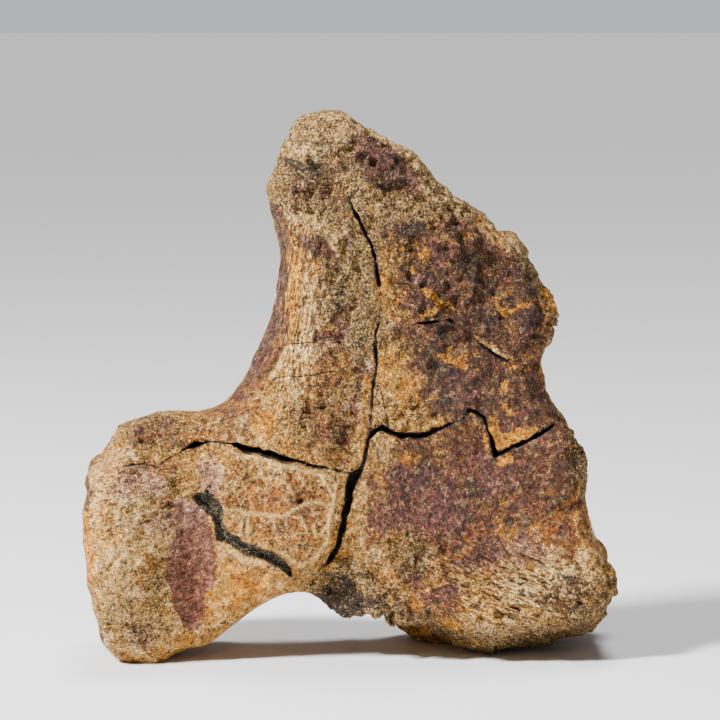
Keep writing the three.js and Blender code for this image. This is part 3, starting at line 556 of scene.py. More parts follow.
# %% Stain patches of the kept side
KEPT_SIDE_STAINS = {  # strength, middle x, z, reach x, z, and a turn in degrees where there is one
    "matrix": [
        (1, -8, 125, 15, 16), (0.95, 0, 96, 9, 17), (0.85, 11, 117, 9, 12), (0.9, 20, 120, 14, 7, -40),
        (0.75, 46, 101, 6, 9, 20), (1, 58, 54, 2.6, 9, 12), (0.95, -50, 24.6, 3.8, 3.4),
        (0.9, -50, 16.4, 4.6, 3.2), (0.7, -50, 58.6, 12, 4.8), (0.95, 17, 29, 7, 6), (1, -2, 19, 9, 8),
        (0.8, 61, 17, 8, 9), (0.6, 0, 80, 6, 12), (0.62, 50, 6, 16, 4, 8), (0.55, -8, 62, 8, 9),
        (0.8, 12, 12, 16, 5, -10), (0.5, -27, 50.5, 3.6, 4), (0.8, -3, 60, 5, 6), (0.7, 13, 64, 5, 4),
        (0.6, -56, 12, 8, 6), (0.7, 24, 115, 12, 5, -30), (0.6, 12, 82, 6, 5), (0.7, 40, 4, 24, 5),
        (0.6, 44, 82, 4, 5),
    ],
    "cream": [
        (0.95, -57, 36, 12, 15), (0.95, -60, 48, 7, 9), (0.5, -4, 136, 12, 3), (0.5, -30, 60, 8, 4),
        (0.7, -55, 20, 12, 10), (0.45, -9, 88, 3.8, 12, 4), (0.5, -17, 41, 16, 13),
        (0.6, -29, 62, 9, 6, 30), (0.95, 46, 19.4, 10, 3.4, -8), (0.7, 38, 11, 10, 5, -4),
        (0.55, 11, 66, 4, 7), (0.9, 8.5, 54.4, 3, 5.6), (0.35, -25.5, 19, 9, 9, 30),
        (0.4, -6, 112, 8, 2, -20), (0.6, 3.4, 40, 4, 13, 12), (0.85, -54, 8.5, 11, 6),
        (0.5, 24, 118.5, 10, 3, -38), (0.85, 56, 25, 8, 6), (0.6, -16, 74, 4.4, 8, 10),
        (0.7, -53, 43, 8, 6), (0.6, 7, 28, 2.8, 3), (0.75, -62.6, 55, 3, 4), (0.8, -9, 81, 6, 3),
        (0.8, -14, 130, 4, 2.4), (0.6, 46, 105, 4, 5, 30), (0.6, 4, 118, 3, 3),
    ],
    "rust": [
        (0.9, 34, 96, 20, 18), (0.95, 39, 70, 19, 17), (0.95, 37, 44, 23, 16), (0.8, 20, 30, 14, 8),
        (0.8, -30, 65, 8, 7, 40), (0.8, 22, 107, 4.6, 5.4), (0.7, 20, 97, 7, 5, -30), (0.7, 20, 84, 9, 4),
        (0.8, 36, 80, 5, 5), (0.7, 29, 68, 9, 6), (0.9, 50, 62, 6, 9), (0.8, 44, 70, 6, 6),
        (0.75, -17, 40, 12, 9), (0.6, 8, 42, 6, 9), (0.85, 36, 40, 16, 9), (0.85, 28, 34, 7, 6),
        (0.6, 22, 15, 8, 4), (0.55, -46, 59, 10, 4), (0.5, -5, 66, 6, 14), (0.6, 40, 101, 6, 6),
        (0.8, 50, 44, 9, 9), (0.8, 56, 36, 4, 7), (0.5, -52, 50, 9, 3, -6), (0.7, 27.5, 43.5, 3, 4.6),
        (0.3, -47, 41, 5, 4),
    ],
    "umber": [
        (0.7, 31, 94, 17, 15), (0.8, 36, 71, 15, 12), (0.75, 32, 44, 20, 12), (0.6, 50, 56, 9, 12),
        (0.85, 26, 73, 6.4, 11), (0.75, 19, 77, 5, 6), (0.5, 15, 98, 5, 7), (0.35, -8, 122, 9, 5),
        (0.9, 9.5, 127, 10, 5, -45), (0.85, 24, 104, 6, 7), (0.8, 33, 100, 6, 6, -30),
        (0.9, 26, 72, 7, 8), (0.75, 45, 97.4, 6, 3, -20), (0.95, 35, 86.5, 5.5, 5.5),
        (0.9, 47.6, 88.6, 4.4, 5.4), (0.9, 26.6, 82.4, 6, 4.4), (0.75, 45, 63, 8, 9),
        (0.6, 22, 45, 15, 10), (0.7, 50, 49, 8, 9), (0.7, 19, 52, 9, 4), (0.6, 27, 91, 7, 7),
        (0.9, 12, 110, 4, 2.6), (0.6, 3.6, 66, 2.2, 12), (0.75, -8.4, 106.6, 5.4, 2.2, -20),
        (0.45, -49.6, 24.8, 4, 3.6), (0.45, 54, 16, 4.6, 3.4), (0.45, 59.4, 20.4, 4.8, 2.4),
        (0.6, -3.6, 104.6, 2, 2.4), (0.6, 33, 57, 7, 4), (0.3, -48, 61, 9, 3),
    ],
    "plum": [
        (0.8, 9.5, 127.5, 11, 5.5, -45), (0.85, 20, 40, 12, 8), (0.8, 16, 22, 3.4, 3),
        (0.8, 38, 50, 8, 7), (0.7, 23, 105, 5, 4), (0.75, 31, 69, 6, 5), (0.8, 10, 37, 5, 4),
        (0.7, 44, 60, 6, 6), (0.8, 25, 71, 5, 5), (0.5, 3.4, 64, 1.8, 10), (0.7, 18, 31, 5, 3, -20),
        (0.8, 14, 48, 5, 2.2), (0.7, 35, 30, 5, 4), (0.8, 26.5, 31, 2.2, 2.2), (0.7, -2, 88, 3, 4),
        (0.6, -7.6, 107.6, 6, 1.8, -20), (0.7, -5, 83, 4, 2.4), (0.8, -0.6, 52, 1.6, 1.2),
        (0.6, 48, 90, 3, 4), (0.8, 26, 18.6, 4, 2.4, 15),
    ],
    "lilac": [
        (0.95, -35, 48.5, 3.6, 4.6, 20), (0.95, -40, 39.5, 4, 3.4), (0.35, -20, 18, 5, 4, 30),
        (0.6, -52, 47, 8, 3, -6), (0.5, -44, 34, 2.6, 5), (0.8, 45, 29.5, 9, 4.6, -15),
        (0.35, 16.8, 90, 3.4, 3.6), (0.6, -53, 7.6, 5, 3.6), (0.7, -49, 37, 4, 1.6),
        (0.7, 29.6, 25, 3.8, 1.8), (0.6, 4, 75, 3, 4), (0.7, 45, 84, 1.4, 3), (0.6, -57, 44, 4, 2),
        (0.6, 1.6, 66, 2, 4), (0.6, 24, 46, 3, 2),
    ],
    "ochre": [
        (0.6, 12.6, 106.3, 3.2, 3.6), (0.35, 11, 76, 4, 8), (0.4, -17, 39, 13, 10), (0.7, -13, 105, 2, 2),
        (0.5, 14, 66, 4, 6), (0.35, -61, 38, 4, 13), (0.95, 26.6, 9.6, 3, 1.5, -35),
        (0.9, 59.6, 37, 2.2, 3.6, 10), (0.8, 19.4, 104, 1.4, 2), (0.6, 25, 91.6, 3, 1.6, -40),
        (0.9, 12.6, 92.4, 1, 1.4), (0.4, 30, 76.6, 3, 4, 20), (0.7, 40, 94, 4, 1.6, 20),
        (0.75, -22, 62, 4, 4), (0.7, 40, 34, 3, 2.4), (0.7, -38, 58.6, 5, 1.8, 10),
        (0.85, 17, 14.8, 2.2, 1.6), (0.4, 36, 13, 5.6, 2.8), (0.7, 48, 33, 2.4, 2),
        (0.8, -5, 85.6, 1.6, 1.6), (0.5, -46, 4.6, 4, 1.2), (0.7, 9, 98, 2, 3), (0.7, 16, 52, 3.4, 2),
        (0.6, -26, 20, 5, 6, 30), (0.7, 4.6, 71, 1.2, 4), (0.7, 43, 76, 3, 2), (0.6, 52, 92, 3, 4),
    ],
    "soot": [
        (0.4, 9.5, 127.5, 9, 4, -45), (0.5, -15.2, 127.2, 2.2, 1), (0.5, -9.4, 127, 2.6, 1.6, -10),
        (0.9, -3, 18, 7, 6), (0.6, 6, 17, 9, 6), (1, 16.3, 110.6, 2.6, 2.4), (0.9, 13.2, 104.8, 1, 1.3),
        (0.9, 31.4, 102.4, 2.2, 1.7), (0.8, 31.4, 97.4, 2.6, 1.2), (0.8, 27, 109.6, 1.5, 1.2),
        (0.7, 14, 48.4, 4.4, 1.6), (0.6, 33, 44.6, 5, 3), (0.65, 28, 69, 7, 6), (0.6, 24, 84, 4, 2),
        (0.8, 3, 82, 2, 1.6), (0.7, 47, 87, 2.6, 3), (0.6, 25, 75, 4, 4), (0.6, 10, 122, 3, 2),
        (0.6, 36, 86, 3, 3), (0.5, 42, 49, 3, 3), (0.55, -7, 108.6, 3.6, 1.4, -20),
        (0.5, -11.6, 107, 1.6, 1), (0.5, 30, 66, 4, 5), (0.5, 22, 46, 6, 2.4, 10), (0.45, -2, 94, 4, 5),
    ],
}
print("kept side:", sum(map(len, KEPT_SIDE_STAINS.values())), "patches")

# %% [markdown]
# ## Streaks of the kept side
# Minerals gathered in grooves and along the lips of cracks, and handling wore the stain off the rims, so
# some of the marks are lines. Along the tip and the crest, the pale rim is worn bone and a painted
# highlight on the top edge as well. A streak is a path with a width, and its ends taper. A patch as thin
# as that would do for a straight mark, but it could not bend.

# %% Streaks and sharp patches of the kept side
KEPT_SIDE_STREAKS = {  # width and path
    "matrix": [
        (3.4, [[44.5, 104], [49.5, 98], [52.5, 91], [53.6, 84], [52, 76]]),
        (3, [[-16, 134], [-8, 139], [2, 137.5], [12, 132], [22, 124], [32, 116], [40, 110]]),
    ],
    "umber": [
        (4, [[-20, 116], [-18.4, 103], [-18.8, 96], [-20, 88], [-22, 81], [-25.2, 74], [-28.6, 68.5]]),
        (1.2, [[-16.8, 108], [-16, 99], [-17, 90], [-19, 82]]),
    ],
    "cream": [
        (3, [[-16.4, 114], [-12, 113.2], [-8, 112], [-4.6, 109.8], [-2.4, 105.6], [-0.6, 101]]),
        (1.7, [[-11.2, 100.4], [-11.7, 95.8], [-12.2, 91.9]]),
        (1.5, [[-9.4, 93.2], [-9.6, 88.1], [-9.4, 82.4]]), (1.1, [[-7.9, 88.6], [-8.1, 82.7]]),
        # Along the tip and the crest: cream bone, and a painted highlight on the top edge.
        (3.4, [[-6, 139.4], [2, 137.6], [9, 134.6], [15, 130.6], [20, 126.4], [26, 120.6]]),
        (1.3, [[-34.2, 31], [-32.4, 29.6], [-28.5, 28.4], [-24.4, 26.9], [-20.1, 25.6], [-17.8, 23.6]]),
        (1.3, [[-55.1, 24.2], [-54.6, 21.9], [-52.5, 19.8], [-48.2, 19.1], [-45.4, 19.8]]),
        (1.3, [[-53.3, 11.9], [-50.2, 11.1], [-46.1, 11.6], [-44.1, 13.2]]),
        (1.2, [[28, 97.9], [30.5, 95.4], [33.7, 97]]), (1.1, [[41.8, 88.1], [40.9, 84.9], [41.4, 81.9]]),
        (0.6, [[31, 64.8], [34.5, 65.4], [37.3, 66.9], [42.1, 69], [48.5, 70.8]]),
        (0.9, [[-42, 8.4], [-36, 9.4], [-31, 11.6]]),
        (1, [[33, 83], [36, 80.8], [38.6, 78.8], [41.8, 77.4]]),
        (1.3, [[-15.6, 131.4], [-12.6, 129.8], [-10.1, 127.5]]), (1, [[-9.6, 128.2], [-6.7, 128.6]]),
        (0.9, [[-12.4, 131.6], [-9.6, 130], [-8.2, 130.8]]),
        (1.2, [[-39.6, 44.6], [-37, 45], [-34, 43.4]]), (0.8, [[-17.4, 80], [-18.6, 74], [-19.6, 71.6]]),
    ],
    "ochre": [
        (1.6, [[18.7, 95.5], [21.5, 93.8], [23.5, 91.8], [21.7, 89.7], [18.9, 88.8]]),
        (1.2, [[37.7, 91.8], [39.8, 88.9], [42.6, 89.3], [45.8, 91.4], [47.8, 92.2]]),
        (1.5, [[22.8, 78.8], [28, 76.8], [30.4, 74.7]]),
        (3, [[36.6, 62], [37.2, 59], [38.3, 56.4], [39.8, 55.8], [42.4, 57.2], [46, 58.8]]),
        (2, [[38.6, 50.9], [41.6, 53]]), (1.5, [[39.4, 65.5], [40.9, 64.2], [41.4, 62.9]]),
        (1, [[46.6, 59], [48.3, 59.9]]), (1.4, [[40.4, 71.4], [39.9, 69.1]]),
        (3.2, [[-14.4, 108], [-13.8, 99], [-14.6, 88]]), (1.8, [[-66.4, 40], [-66, 32], [-65.2, 24]]),
        (1, [[34.8, 58], [35.6, 54]]), (1, [[16, 101], [17, 99]]),
        (0.8, [[-37, 3.8], [-30, 6.6], [-26, 9.4]]),
    ],
    "rust": [
        (5.4, [[-18.6, 115], [-16.9, 103], [-17.2, 96], [-18.4, 88], [-20.4, 81], [-23.6, 74],
               [-27.2, 68.5]]), (2, [[-2.2, 62], [-1, 58], [-0.4, 54.6]]),
        (1.2, [[-47, 42.4], [-42, 41.4]]), (1, [[-49, 40], [-43, 38.8]]),
    ],
    "plum": [
        (2.8, [[18, 16.2], [22, 17.3], [27, 19.8]]),
        (2.4, [[-19.3, 110], [-18, 98], [-19.8, 86], [-24, 76]]), (0.9, [[-36, 60.6], [-40, 58.6]]),
    ],
    "lilac": [
        (1.2, [[15.5, 97], [17.4, 98.3], [19.5, 98.7], [21.7, 97.8]]), (0.9, [[-1.2, 111], [0.6, 106]]),
    ],
    "soot": [
        (1.7, [[-17.2, 128.4], [-14.8, 127.6], [-12.4, 126.9], [-9.5, 125.5], [-6.7, 124.6]]),
        (1.3, [[-10.4, 128.2], [-8.6, 126.4], [-6.4, 126.8]]),
        (1, [[-15, 125.4], [-12.2, 124.4], [-10, 122.6]]), (0.8, [[40.9, 21.4], [44.7, 20.6]]),
        (0.9, [[35.8, 20.9], [38, 20.4]]), (0.9, [[40.4, 13.6], [43.7, 12.7]]),
        (0.9, [[53.9, 22.7], [57.7, 22]]), (0.7, [[44, 18.4], [48, 17.8]]), (0.6, [[37, 17.6], [41, 17]]),
    ],
}
PLUM_PATCH = [
    [-42.3, 40.6], [-38.7, 41.1], [-36.2, 38], [-34.4, 34.2], [-33.9, 30.4], [-34.4, 23.9], [-35.4, 18.8],
    [-37.2, 13.7], [-39, 9.8], [-41.5, 9.1], [-43.6, 12.4], [-44.9, 16.2], [-45.6, 20.1], [-46.1, 25.2],
    [-45.1, 30.4], [-44.1, 34.2], [-43.1, 37.5],
]
SAND_PATCHES = [  # matrix that lies over every stain
    (0.8, -50.2, 24.8, 4.2, 3.6), (0.6, -49.8, 16.4, 4.6, 3), (0.95, 16.6, 29, 7, 5.6),
    (0.7, 5, 20, 4, 3), (0.7, 60.4, 54, 2.4, 7, 12),
]
WORN_RIMS = [  # width and path of the rims that the iron stain has worn off
    # The first two rims follow the crest and its broken edge, where the bared pale bone is also a painted
    # highlight on the top edge.
    (3.6, [[0, 139], [8, 136], [14.6, 131.6], [20, 126.8], [24, 122]]),
    (6, [[19, 125], [27, 119.5], [35, 113.5], [41.5, 108], [44.4, 106.4], [48, 102.4], [51.4, 96.4],
         [53.6, 90], [54.4, 84.4], [52.4, 78]]),
    (2.8, [[-15, 113.4], [-11, 112.4], [-7.4, 111], [-4, 108.6], [-1.8, 104.6], [0.4, 100]]),
    (1.2, [[33, 83], [36, 80.8], [38.6, 78.8], [41.8, 77.4]]),
    (2.6, [[3.8, 72], [3.4, 64], [2.8, 57], [1.6, 51.4]]),
    (2.4, [[9.4, 73], [9.8, 67], [12, 62.4], [17, 60.4], [24, 61.6]]),
    (3.4, [[60.4, 58], [60.8, 50], [59.6, 44]]), (2, [[4, 47], [2.4, 40], [0.6, 33]]),
]
print("kept side:", sum(map(len, KEPT_SIDE_STREAKS.values())), "streaks,", len(WORN_RIMS), "worn rims")

# %% Stain patches of the far side
FAR_SIDE_STAINS = {
    "matrix": [
        (1, -8, 126, 14, 13), (0.8, 28, 84, 14, 12), (0.9, 6, 60, 12, 8), (0.8, -48, 56, 13, 6),
        (0.8, 0, 20, 14, 9), (0.7, 58, 14, 9, 12), (0.7, -56, 14, 8, 9),
    ],
    "cream": [
        (0.8, -54, 34, 12, 17), (0.8, -10, 96, 5, 24), (0.7, 48, 22, 13, 12), (0.7, -20, 34, 16, 9, 10),
        (0.6, 22, 48, 14, 7), (0.6, 4, 118, 9, 4, -30), (0.6, 12, 84, 5, 9, 20),
    ],
    "rust": [
        (0.8, -14, 78, 9, 18, 14), (0.9, 22, 98, 17, 16, -30), (0.8, 40, 62, 15, 17),
        (0.8, 30, 38, 20, 12), (0.7, -34, 44, 12, 8), (0.6, 24, 22, 10, 8),
    ],
    "umber": [
        (0.8, 24, 98, 13, 12, -20), (0.8, 42, 64, 10, 12), (0.6, -28, 30, 9, 9), (0.6, 10, 40, 12, 9),
        (0.6, -22, 70, 5, 10, 20), (0.6, 34, 24, 9, 5), (0.6, -48, 50, 9, 5),
    ],
    "plum": [
        (0.9, 16, 118, 9, 7, -30), (0.8, 40, 36, 9, 9), (0.8, -40, 28, 6, 11, 10), (0.6, 2, 76, 7, 9),
    ],
    "lilac": [
        (0.7, 30, 30, 9, 6), (0.6, -46, 46, 8, 4), (0.5, 4, 108, 6, 5),
    ],
    "ochre": [
        (0.7, -16, 100, 2, 14), (0.7, 34, 74, 6, 2, 20), (0.6, -24, 58, 6, 2),
    ],
    "soot": [
        (0.7, 6, 67, 4, 2), (0.5, 20, 112, 4, 3), (0.5, -2, 18, 7, 4),
    ],
}
STAINS = list(KEPT_SIDE_STAINS)
print("far side:", sum(map(len, FAR_SIDE_STAINS.values())), "patches")

# %% Draw the stains


def stain_map(patches):
    """Patches that lie over each other: each one covers its share of what is still clean."""
    left_clean = np.ones_like(map_x)
    for strength, x, z, reach_x, reach_z, *turn in patches:
        left_clean *= 1 - strength * within(x, z, reach_x, reach_z, *turn)
    return 1 - left_clean


SAND_HIDES, WEAR_TAKES = 0.9, 0.85  # shares of a stain
kept_stains = {name: stain_map(patches) for name, patches in KEPT_SIDE_STAINS.items()}
far_stains = {name: stain_map(patches) for name, patches in FAR_SIDE_STAINS.items()}
sand_cover = stain_map(SAND_PATCHES)
for name in STAINS:
    kept_stains[name] *= 1 - SAND_HIDES * sand_cover
kept_stains["matrix"] = np.maximum(kept_stains["matrix"], sand_cover)
for name, rows in KEPT_SIDE_STREAKS.items():
    kept_stains[name] = np.maximum(kept_stains[name], streaks(rows))
# Iron stain is gone where the rims are worn, and thin where ochre shows.
worn = np.maximum(streaks(WORN_RIMS), 0.75 * streaks(KEPT_SIDE_STREAKS["ochre"]))
for name in ("rust", "umber", "plum", "soot"):
    kept_stains[name] *= 1 - WEAR_TAKES * worn
plum_patch = filled(PLUM_PATCH, 1.5, 1.1, -0.7)
kept_stains["plum"] = np.maximum(kept_stains["plum"], plum_patch)
print("stains:", ", ".join(STAINS), "in", round(time.time() - started, 1), "s")

# %% [markdown]
# ## The bone as a field
# A field gives each point of space a number: below zero inside the bone, above zero outside, and close to
# the distance from its surface. Two forms blend where the smaller number of the two is taken with a
# rounded corner, which is how the spine grows out of the centrum with no seam. Metaballs and a voxel
# remesh work in a like way, but they can't hold an outline or a crack to a tenth of a millimetre.

# %% Sizes of the forms
HALF_LENGTH = 68
CENTRUM = {  # at the waist, added at the ends
    "half_width": (17.5, 8.0),
    "half_height": (22.5, 7.0),
    "axis_height": (38.5, -10.5),
    "squareness": (2.2, 1.0),
}
FLARE = 2.3
YAW_SLOPE, YAW_OFFSET = 0.09, -1.5
SPINE_TOP = 140.5
SPINE_THICKNESS, SPINE_THICKENING, SPINE_THINNING = 7.6, 0.115, 0.34
SPINE_MIDDLE, SPINE_DRIFT, SPINE_WIDTH, SPINE_WIDENING = -4, 0.25, 20, 0.42
MARGIN_LEAN, MARGIN_X, MARGIN_Z = 0.46, (0, -14), (62, 76)  # the front margin leans back from here on
SOLE_FROM, SOLE_SLOPE, SOLE_X, SOLE_Z = 7, 0.5, (8, 24), (18, 5)  # the right sole rises to the front
SIDE_FADE = (-4, 8)  # in front of the middle, from the far side's relief to the kept side's
BLEND_SPINE, BLEND_OUTLINE, BLEND_HOLLOW, BLEND_HEEL = 11, 7.5, 2.5, 4
HOLLOWS = [  # middle, radii
    ((-77, -7.5, 29), (12.5, 19, 20)),  # cup of the left joint face
    ((76, 5, 24), (13, 18, 18)),  # cup of the right joint face
    ((-66, -3, 57.5), (8, 6.5, 4.4)),  # neural canal, left mouth
    ((62, 3, 60.5), (8, 6, 5)),  # neural canal, right mouth
    ((14, -16, 137), (13, 8, 7)),  # spall below the crest
]
FAR_HEEL = ((31, 14, 6), (20, 11.5, 9))
ROUGHNESS = [(0.9, 13, 3), (0.55, 5.5, 8)]  # height, size, seed: as broad as the solid's own
FINE_ROUGHNESS = [(0.7, 3.1, 12), (0.65, 1.6, 13)]
OPEN_FROM, CRACK_TAPER = 0.2, 0.55  # cracks of less than this half width stay closed
EDGE_WEAR = 0.45  # share of the fine roughness that has worn off the left edge
DEEP_INSIDE = -9
MIDDLE = (0.65, -1.42)  # the drawing's x and y that lie over the origin
print("waist half width", CENTRUM["half_width"][0], "mm, ends", sum(CENTRUM["half_width"]), "mm")

# %% How rough each place is
PLAIN_ROUGHNESS, WORN_SMOOTH, LEAST_ROUGH, MOST_ROUGH = 0.55, 0.45, 0.12, 1.6
smooth_flake = within(-25.5, 19, 9, 9, 30)
smooth_bone = np.maximum(np.maximum(plate_mask, plum_patch), smooth_flake)
rough_bone = np.maximum(kept_stains["matrix"], 0.9 * knobbly)
kept_rough = np.clip(PLAIN_ROUGHNESS + rough_bone - WORN_SMOOTH * smooth_bone, LEAST_ROUGH, MOST_ROUGH)
far_rough = 0.5 + far_stains["matrix"]
side_maps = np.stack([
    outline_map, kept_relief, far_relief,
    kept_cracks[1], kept_cracks[2], kept_cracks[3],
    far_cracks[1], far_cracks[2], far_cracks[3],
    kept_rough, far_rough,
])
print("roughness from", round(float(kept_rough.min()), 2), "to", round(float(kept_rough.max()), 2))

# %% The bone's field


def middle_y(x):
    """Where the middle plane of the bone lies. It turns a little along the bone."""
    return YAW_SLOPE * x + YAW_OFFSET


def centrum(x, y, z):
    """The spool: an oval section that grows wider, taller and squarer towards both ends."""
    flare = np.abs(x / HALF_LENGTH) ** FLARE
    width, height, axis, power = (
        CENTRUM[key][0] + CENTRUM[key][1] * flare
        for key in ("half_width", "half_height", "axis_height", "squareness")
    )
    section = np.abs((y - middle_y(x)) / width) ** power + np.abs((z - axis) / height) ** power
    return (section ** (1 / power) - 1) * np.minimum(width, height)


def spine(x, y, z):
    """The blade: a slab that thickens downwards and thins towards its front and back edges."""
    down = SPINE_TOP - z
    side = (x - SPINE_MIDDLE - SPINE_DRIFT * down) / (SPINE_WIDTH + SPINE_WIDENING * down)
    thickness = SPINE_THICKNESS + SPINE_THICKENING * down
    return np.abs(y - middle_y(x)) - thickness * (1 - SPINE_THINNING * np.minimum(side * side, 1.6))


def ellipsoid(form, x, y, z):
    """About the distance from an egg shape, which is near enough where forms are blended."""
    middle, radii = form
    reach = sum(((v - m) / r) ** 2 for v, m, r in zip((x, y, z), middle, radii)) ** 0.5
    return (reach - 1) * min(radii)


def bone(x, y, z, fine=True):
    """The field of the whole bone, in mm, at drawn coordinates."""
    (outline, kept, far, kept_away, kept_half, kept_depth,
     far_away, far_half, far_depth, kept_grit, far_grit) = look_up(side_maps, x, z)
    forward = middle_y(x) - y
    kept_side = smooth_step(*SIDE_FADE, forward)
    value = smooth_min(centrum(x, y, z), spine(x, y, z), BLEND_SPINE)
    value -= kept_side * kept + (1 - kept_side) * far
    on_margin = smooth_step(*MARGIN_X, x) * smooth_step(*MARGIN_Z, z)
    on_sole = smooth_step(*SOLE_X, x) * smooth_step(*SOLE_Z, z)
    lean = MARGIN_LEAN * on_margin * np.maximum(forward, 0)
    wall = outline + lean + SOLE_SLOPE * on_sole * np.maximum(forward - SOLE_FROM, 0)
    value = smooth_max(value, wall, BLEND_OUTLINE)
    value = smooth_min(value, ellipsoid(FAR_HEEL, x, y, z), BLEND_HEEL)
    for hollow in HOLLOWS:
        value = smooth_max(value, -ellipsoid(hollow, x, y, z), BLEND_HOLLOW)
    for height, size, seed in ROUGHNESS:
        value += height * noise(x / size, y / size, z / size, seed)
    if not fine:
        return value
    rough = kept_side * kept_grit + (1 - kept_side) * far_grit
    rough *= 1 - EDGE_WEAR * smooth_step(-6, -1, outline) * smooth_step(12, -4, x)
    for height, size, seed in FINE_ROUGHNESS:
        value += rough * height * noise(x / size, y / size, z / size, seed)
    away = np.where(forward > 0, kept_away, far_away)
    half = np.where(forward > 0, kept_half, far_half)
    depth = np.where(forward > 0, kept_depth, far_depth)
    knife = np.minimum(half * (1 + CRACK_TAPER * value / depth) - away, value + depth)
    return np.maximum(value, np.where(half > OPEN_FROM, knife, DEEP_INSIDE))


centre = bone(*np.array([[0.0], [0.0], [40.0]]))
print("the field in the middle of the waist:", round(float(centre[0]), 1), "mm")

# %% [markdown]
# ## Skinning the field
# Surface nets put one vertex in each small cell that the surface passes through, and join the vertices of
# neighbouring cells. Marching cubes would do, but its slivers shade badly. The field is first read on a
# coarse grid, and the fine grid is only worked out near the surface, so half-millimetre cells stay quick.

# %% Read the field on a grid
CELL = 0.5
BLOCK, BATCH = 4, 6000  # cells along a block, and blocks worked out at a time
GRID_LOW = np.array([-74.0, -42.0, -8.0])
GRID_HIGH = np.array([76.0, 40.0, 146.0])
block_size = BLOCK * CELL
near_skin = 1.25 * block_size + 1.8  # more than half a block's diagonal, and the fine roughness
blocks = np.ceil((GRID_HIGH - GRID_LOW) / block_size).astype(int)

axes = [GRID_LOW[a] + block_size * (np.arange(blocks[a]) + 0.5) for a in range(3)]
coarse = bone(*(v.ravel() for v in np.meshgrid(*axes, indexing="ij")), fine=False).reshape(blocks)
grid = np.repeat(np.repeat(np.repeat(coarse, BLOCK, 0), BLOCK, 1), BLOCK, 2).astype(np.float32)
near = np.argwhere(np.abs(coarse) < near_skin)
steps = np.stack(np.meshgrid(*[np.arange(BLOCK)] * 3, indexing="ij"), -1).reshape(-1, 3)
for part in np.array_split(near, max(1, len(near) // BATCH)):
    index = (part[:, None] * BLOCK + steps).reshape(-1, 3)
    grid[tuple(index.T)] = bone(*(GRID_LOW + CELL * index).T)
print("grid", grid.shape, "with", len(near) * BLOCK**3, "points near the skin,",
      round(time.time() - started, 1), "s")

# %% Join the skin
inside = grid < 0
corner_steps = [(a, b, c) for c in (0, 1) for b in (0, 1) for a in (0, 1)]
trim = [slice(None, -1), slice(1, None)]
count = sum(inside[trim[a], trim[b], trim[c]].astype(np.int8) for a, b, c in corner_steps)
cells = np.argwhere((count > 0) & (count < 8))
corners = np.stack([grid[tuple((cells + step).T)] for step in corner_steps], 1)
vertex_of = np.full(grid.shape, -1, np.int32)
vertex_of[tuple(cells.T)] = np.arange(len(cells))

# A cell's vertex goes to the mean of the places where the cell's twelve edges cross the surface.
total, crossings = np.zeros((len(cells), 3)), np.zeros((len(cells), 1))
for a in range(8):
    for axis in range(3):
        b = a + (1 << axis)
        if a & (1 << axis):
            continue
        crossed = (corners[:, a] < 0) != (corners[:, b] < 0)
        t = corners[:, a] / np.where(crossed, corners[:, a] - corners[:, b], 1)
        place = np.array(corner_steps[a], float) + t[:, None] * np.eye(3)[axis]
        total += np.where(crossed[:, None], place, 0)
        crossings += crossed[:, None]
points = GRID_LOW + CELL * (cells + total / crossings)

# Wherever a line of the grid leaves or enters the bone, the four cells round it are joined by one quad.
quads = []
for axis in range(3):
    u, v = np.eye(3, dtype=int)[(axis + 1) % 3], np.eye(3, dtype=int)[(axis + 2) % 3]
    inner = [slice(1, -1)] * 3
    ahead = [slice(1, -1)] * 3
    ahead[axis] = slice(2, None)
    leaves = inside[tuple(inner)] & ~inside[tuple(ahead)]
    enters = ~inside[tuple(inner)] & inside[tuple(ahead)]
    for places, order in ((leaves, 1), (enters, -1)):
        at = np.argwhere(places) + 1
        ring = [vertex_of[tuple((at - shift).T)] for shift in (u + v, v, 0 * u, u)]
        quads.append(np.stack(ring[::order], 1))
quads = np.concatenate(quads)
print(len(points), "vertices,", len(quads), "quads,", round(time.time() - started, 1), "s")

# %% [markdown]
# ## Settling the vertices
# The vertices now lie where straight lines between grid corners cross zero, which is only near the
# surface. Each one is moved down the slope of the field until the field is zero there. Shrinkwrap moves
# vertices onto a mesh in this way, but here there is no finer mesh to reach for, only the field.

# %% Settle the skin on the surface
PROBE, LONGEST_MOVE = 0.06, 0.4 * CELL  # mm


def settle(points, rounds=2):
    """Move points onto the surface where the field is zero, a part of a cell in each round."""
    for _ in range(rounds):
        value = bone(*points.T)
        slope = np.stack([(bone(*(points + PROBE * axis).T) - value) / PROBE for axis in np.eye(3)], 1)
        step = -value[:, None] * slope / np.maximum((slope**2).sum(1), 0.3)[:, None]
        length = np.linalg.norm(step, axis=1, keepdims=True)
        points = points + step * np.minimum(1, LONGEST_MOVE / np.maximum(length, 1e-9))
    return points


points = settle(points)
points[:, 2] = np.maximum(points[:, 2], 0)
print("settled in", round(time.time() - started, 1), "s")

# %% [markdown]
# ## From numbers to a mesh
# The skin has more faces than the bone needs. Decimate folds up edges where the surface is nearly flat and
# keeps them where it bends, so cracks and pits stay sharp and the piece stays light enough to share.

# %% Build and lighten the bone
FACE_LIMIT = 196000


def new_object(name, vertices, faces):
    """A mesh object from arrays of vertices, in metres, and of faces with one corner count."""
    mesh = bpy.data.meshes.new(name)
    mesh.vertices.add(len(vertices))
    mesh.vertices.foreach_set("co", np.asarray(vertices, np.float32).ravel())
    mesh.loops.add(faces.size)
    mesh.loops.foreach_set("vertex_index", faces.ravel().astype(np.int32))
    mesh.polygons.add(len(faces))
    mesh.polygons.foreach_set("loop_start", np.arange(0, faces.size, faces.shape[1], dtype=np.int32))
    mesh.update(calc_edges=True)
    mesh.validate()
    made = bpy.data.objects.new(name, mesh)
    bpy.context.scene.collection.objects.link(made)
    return made


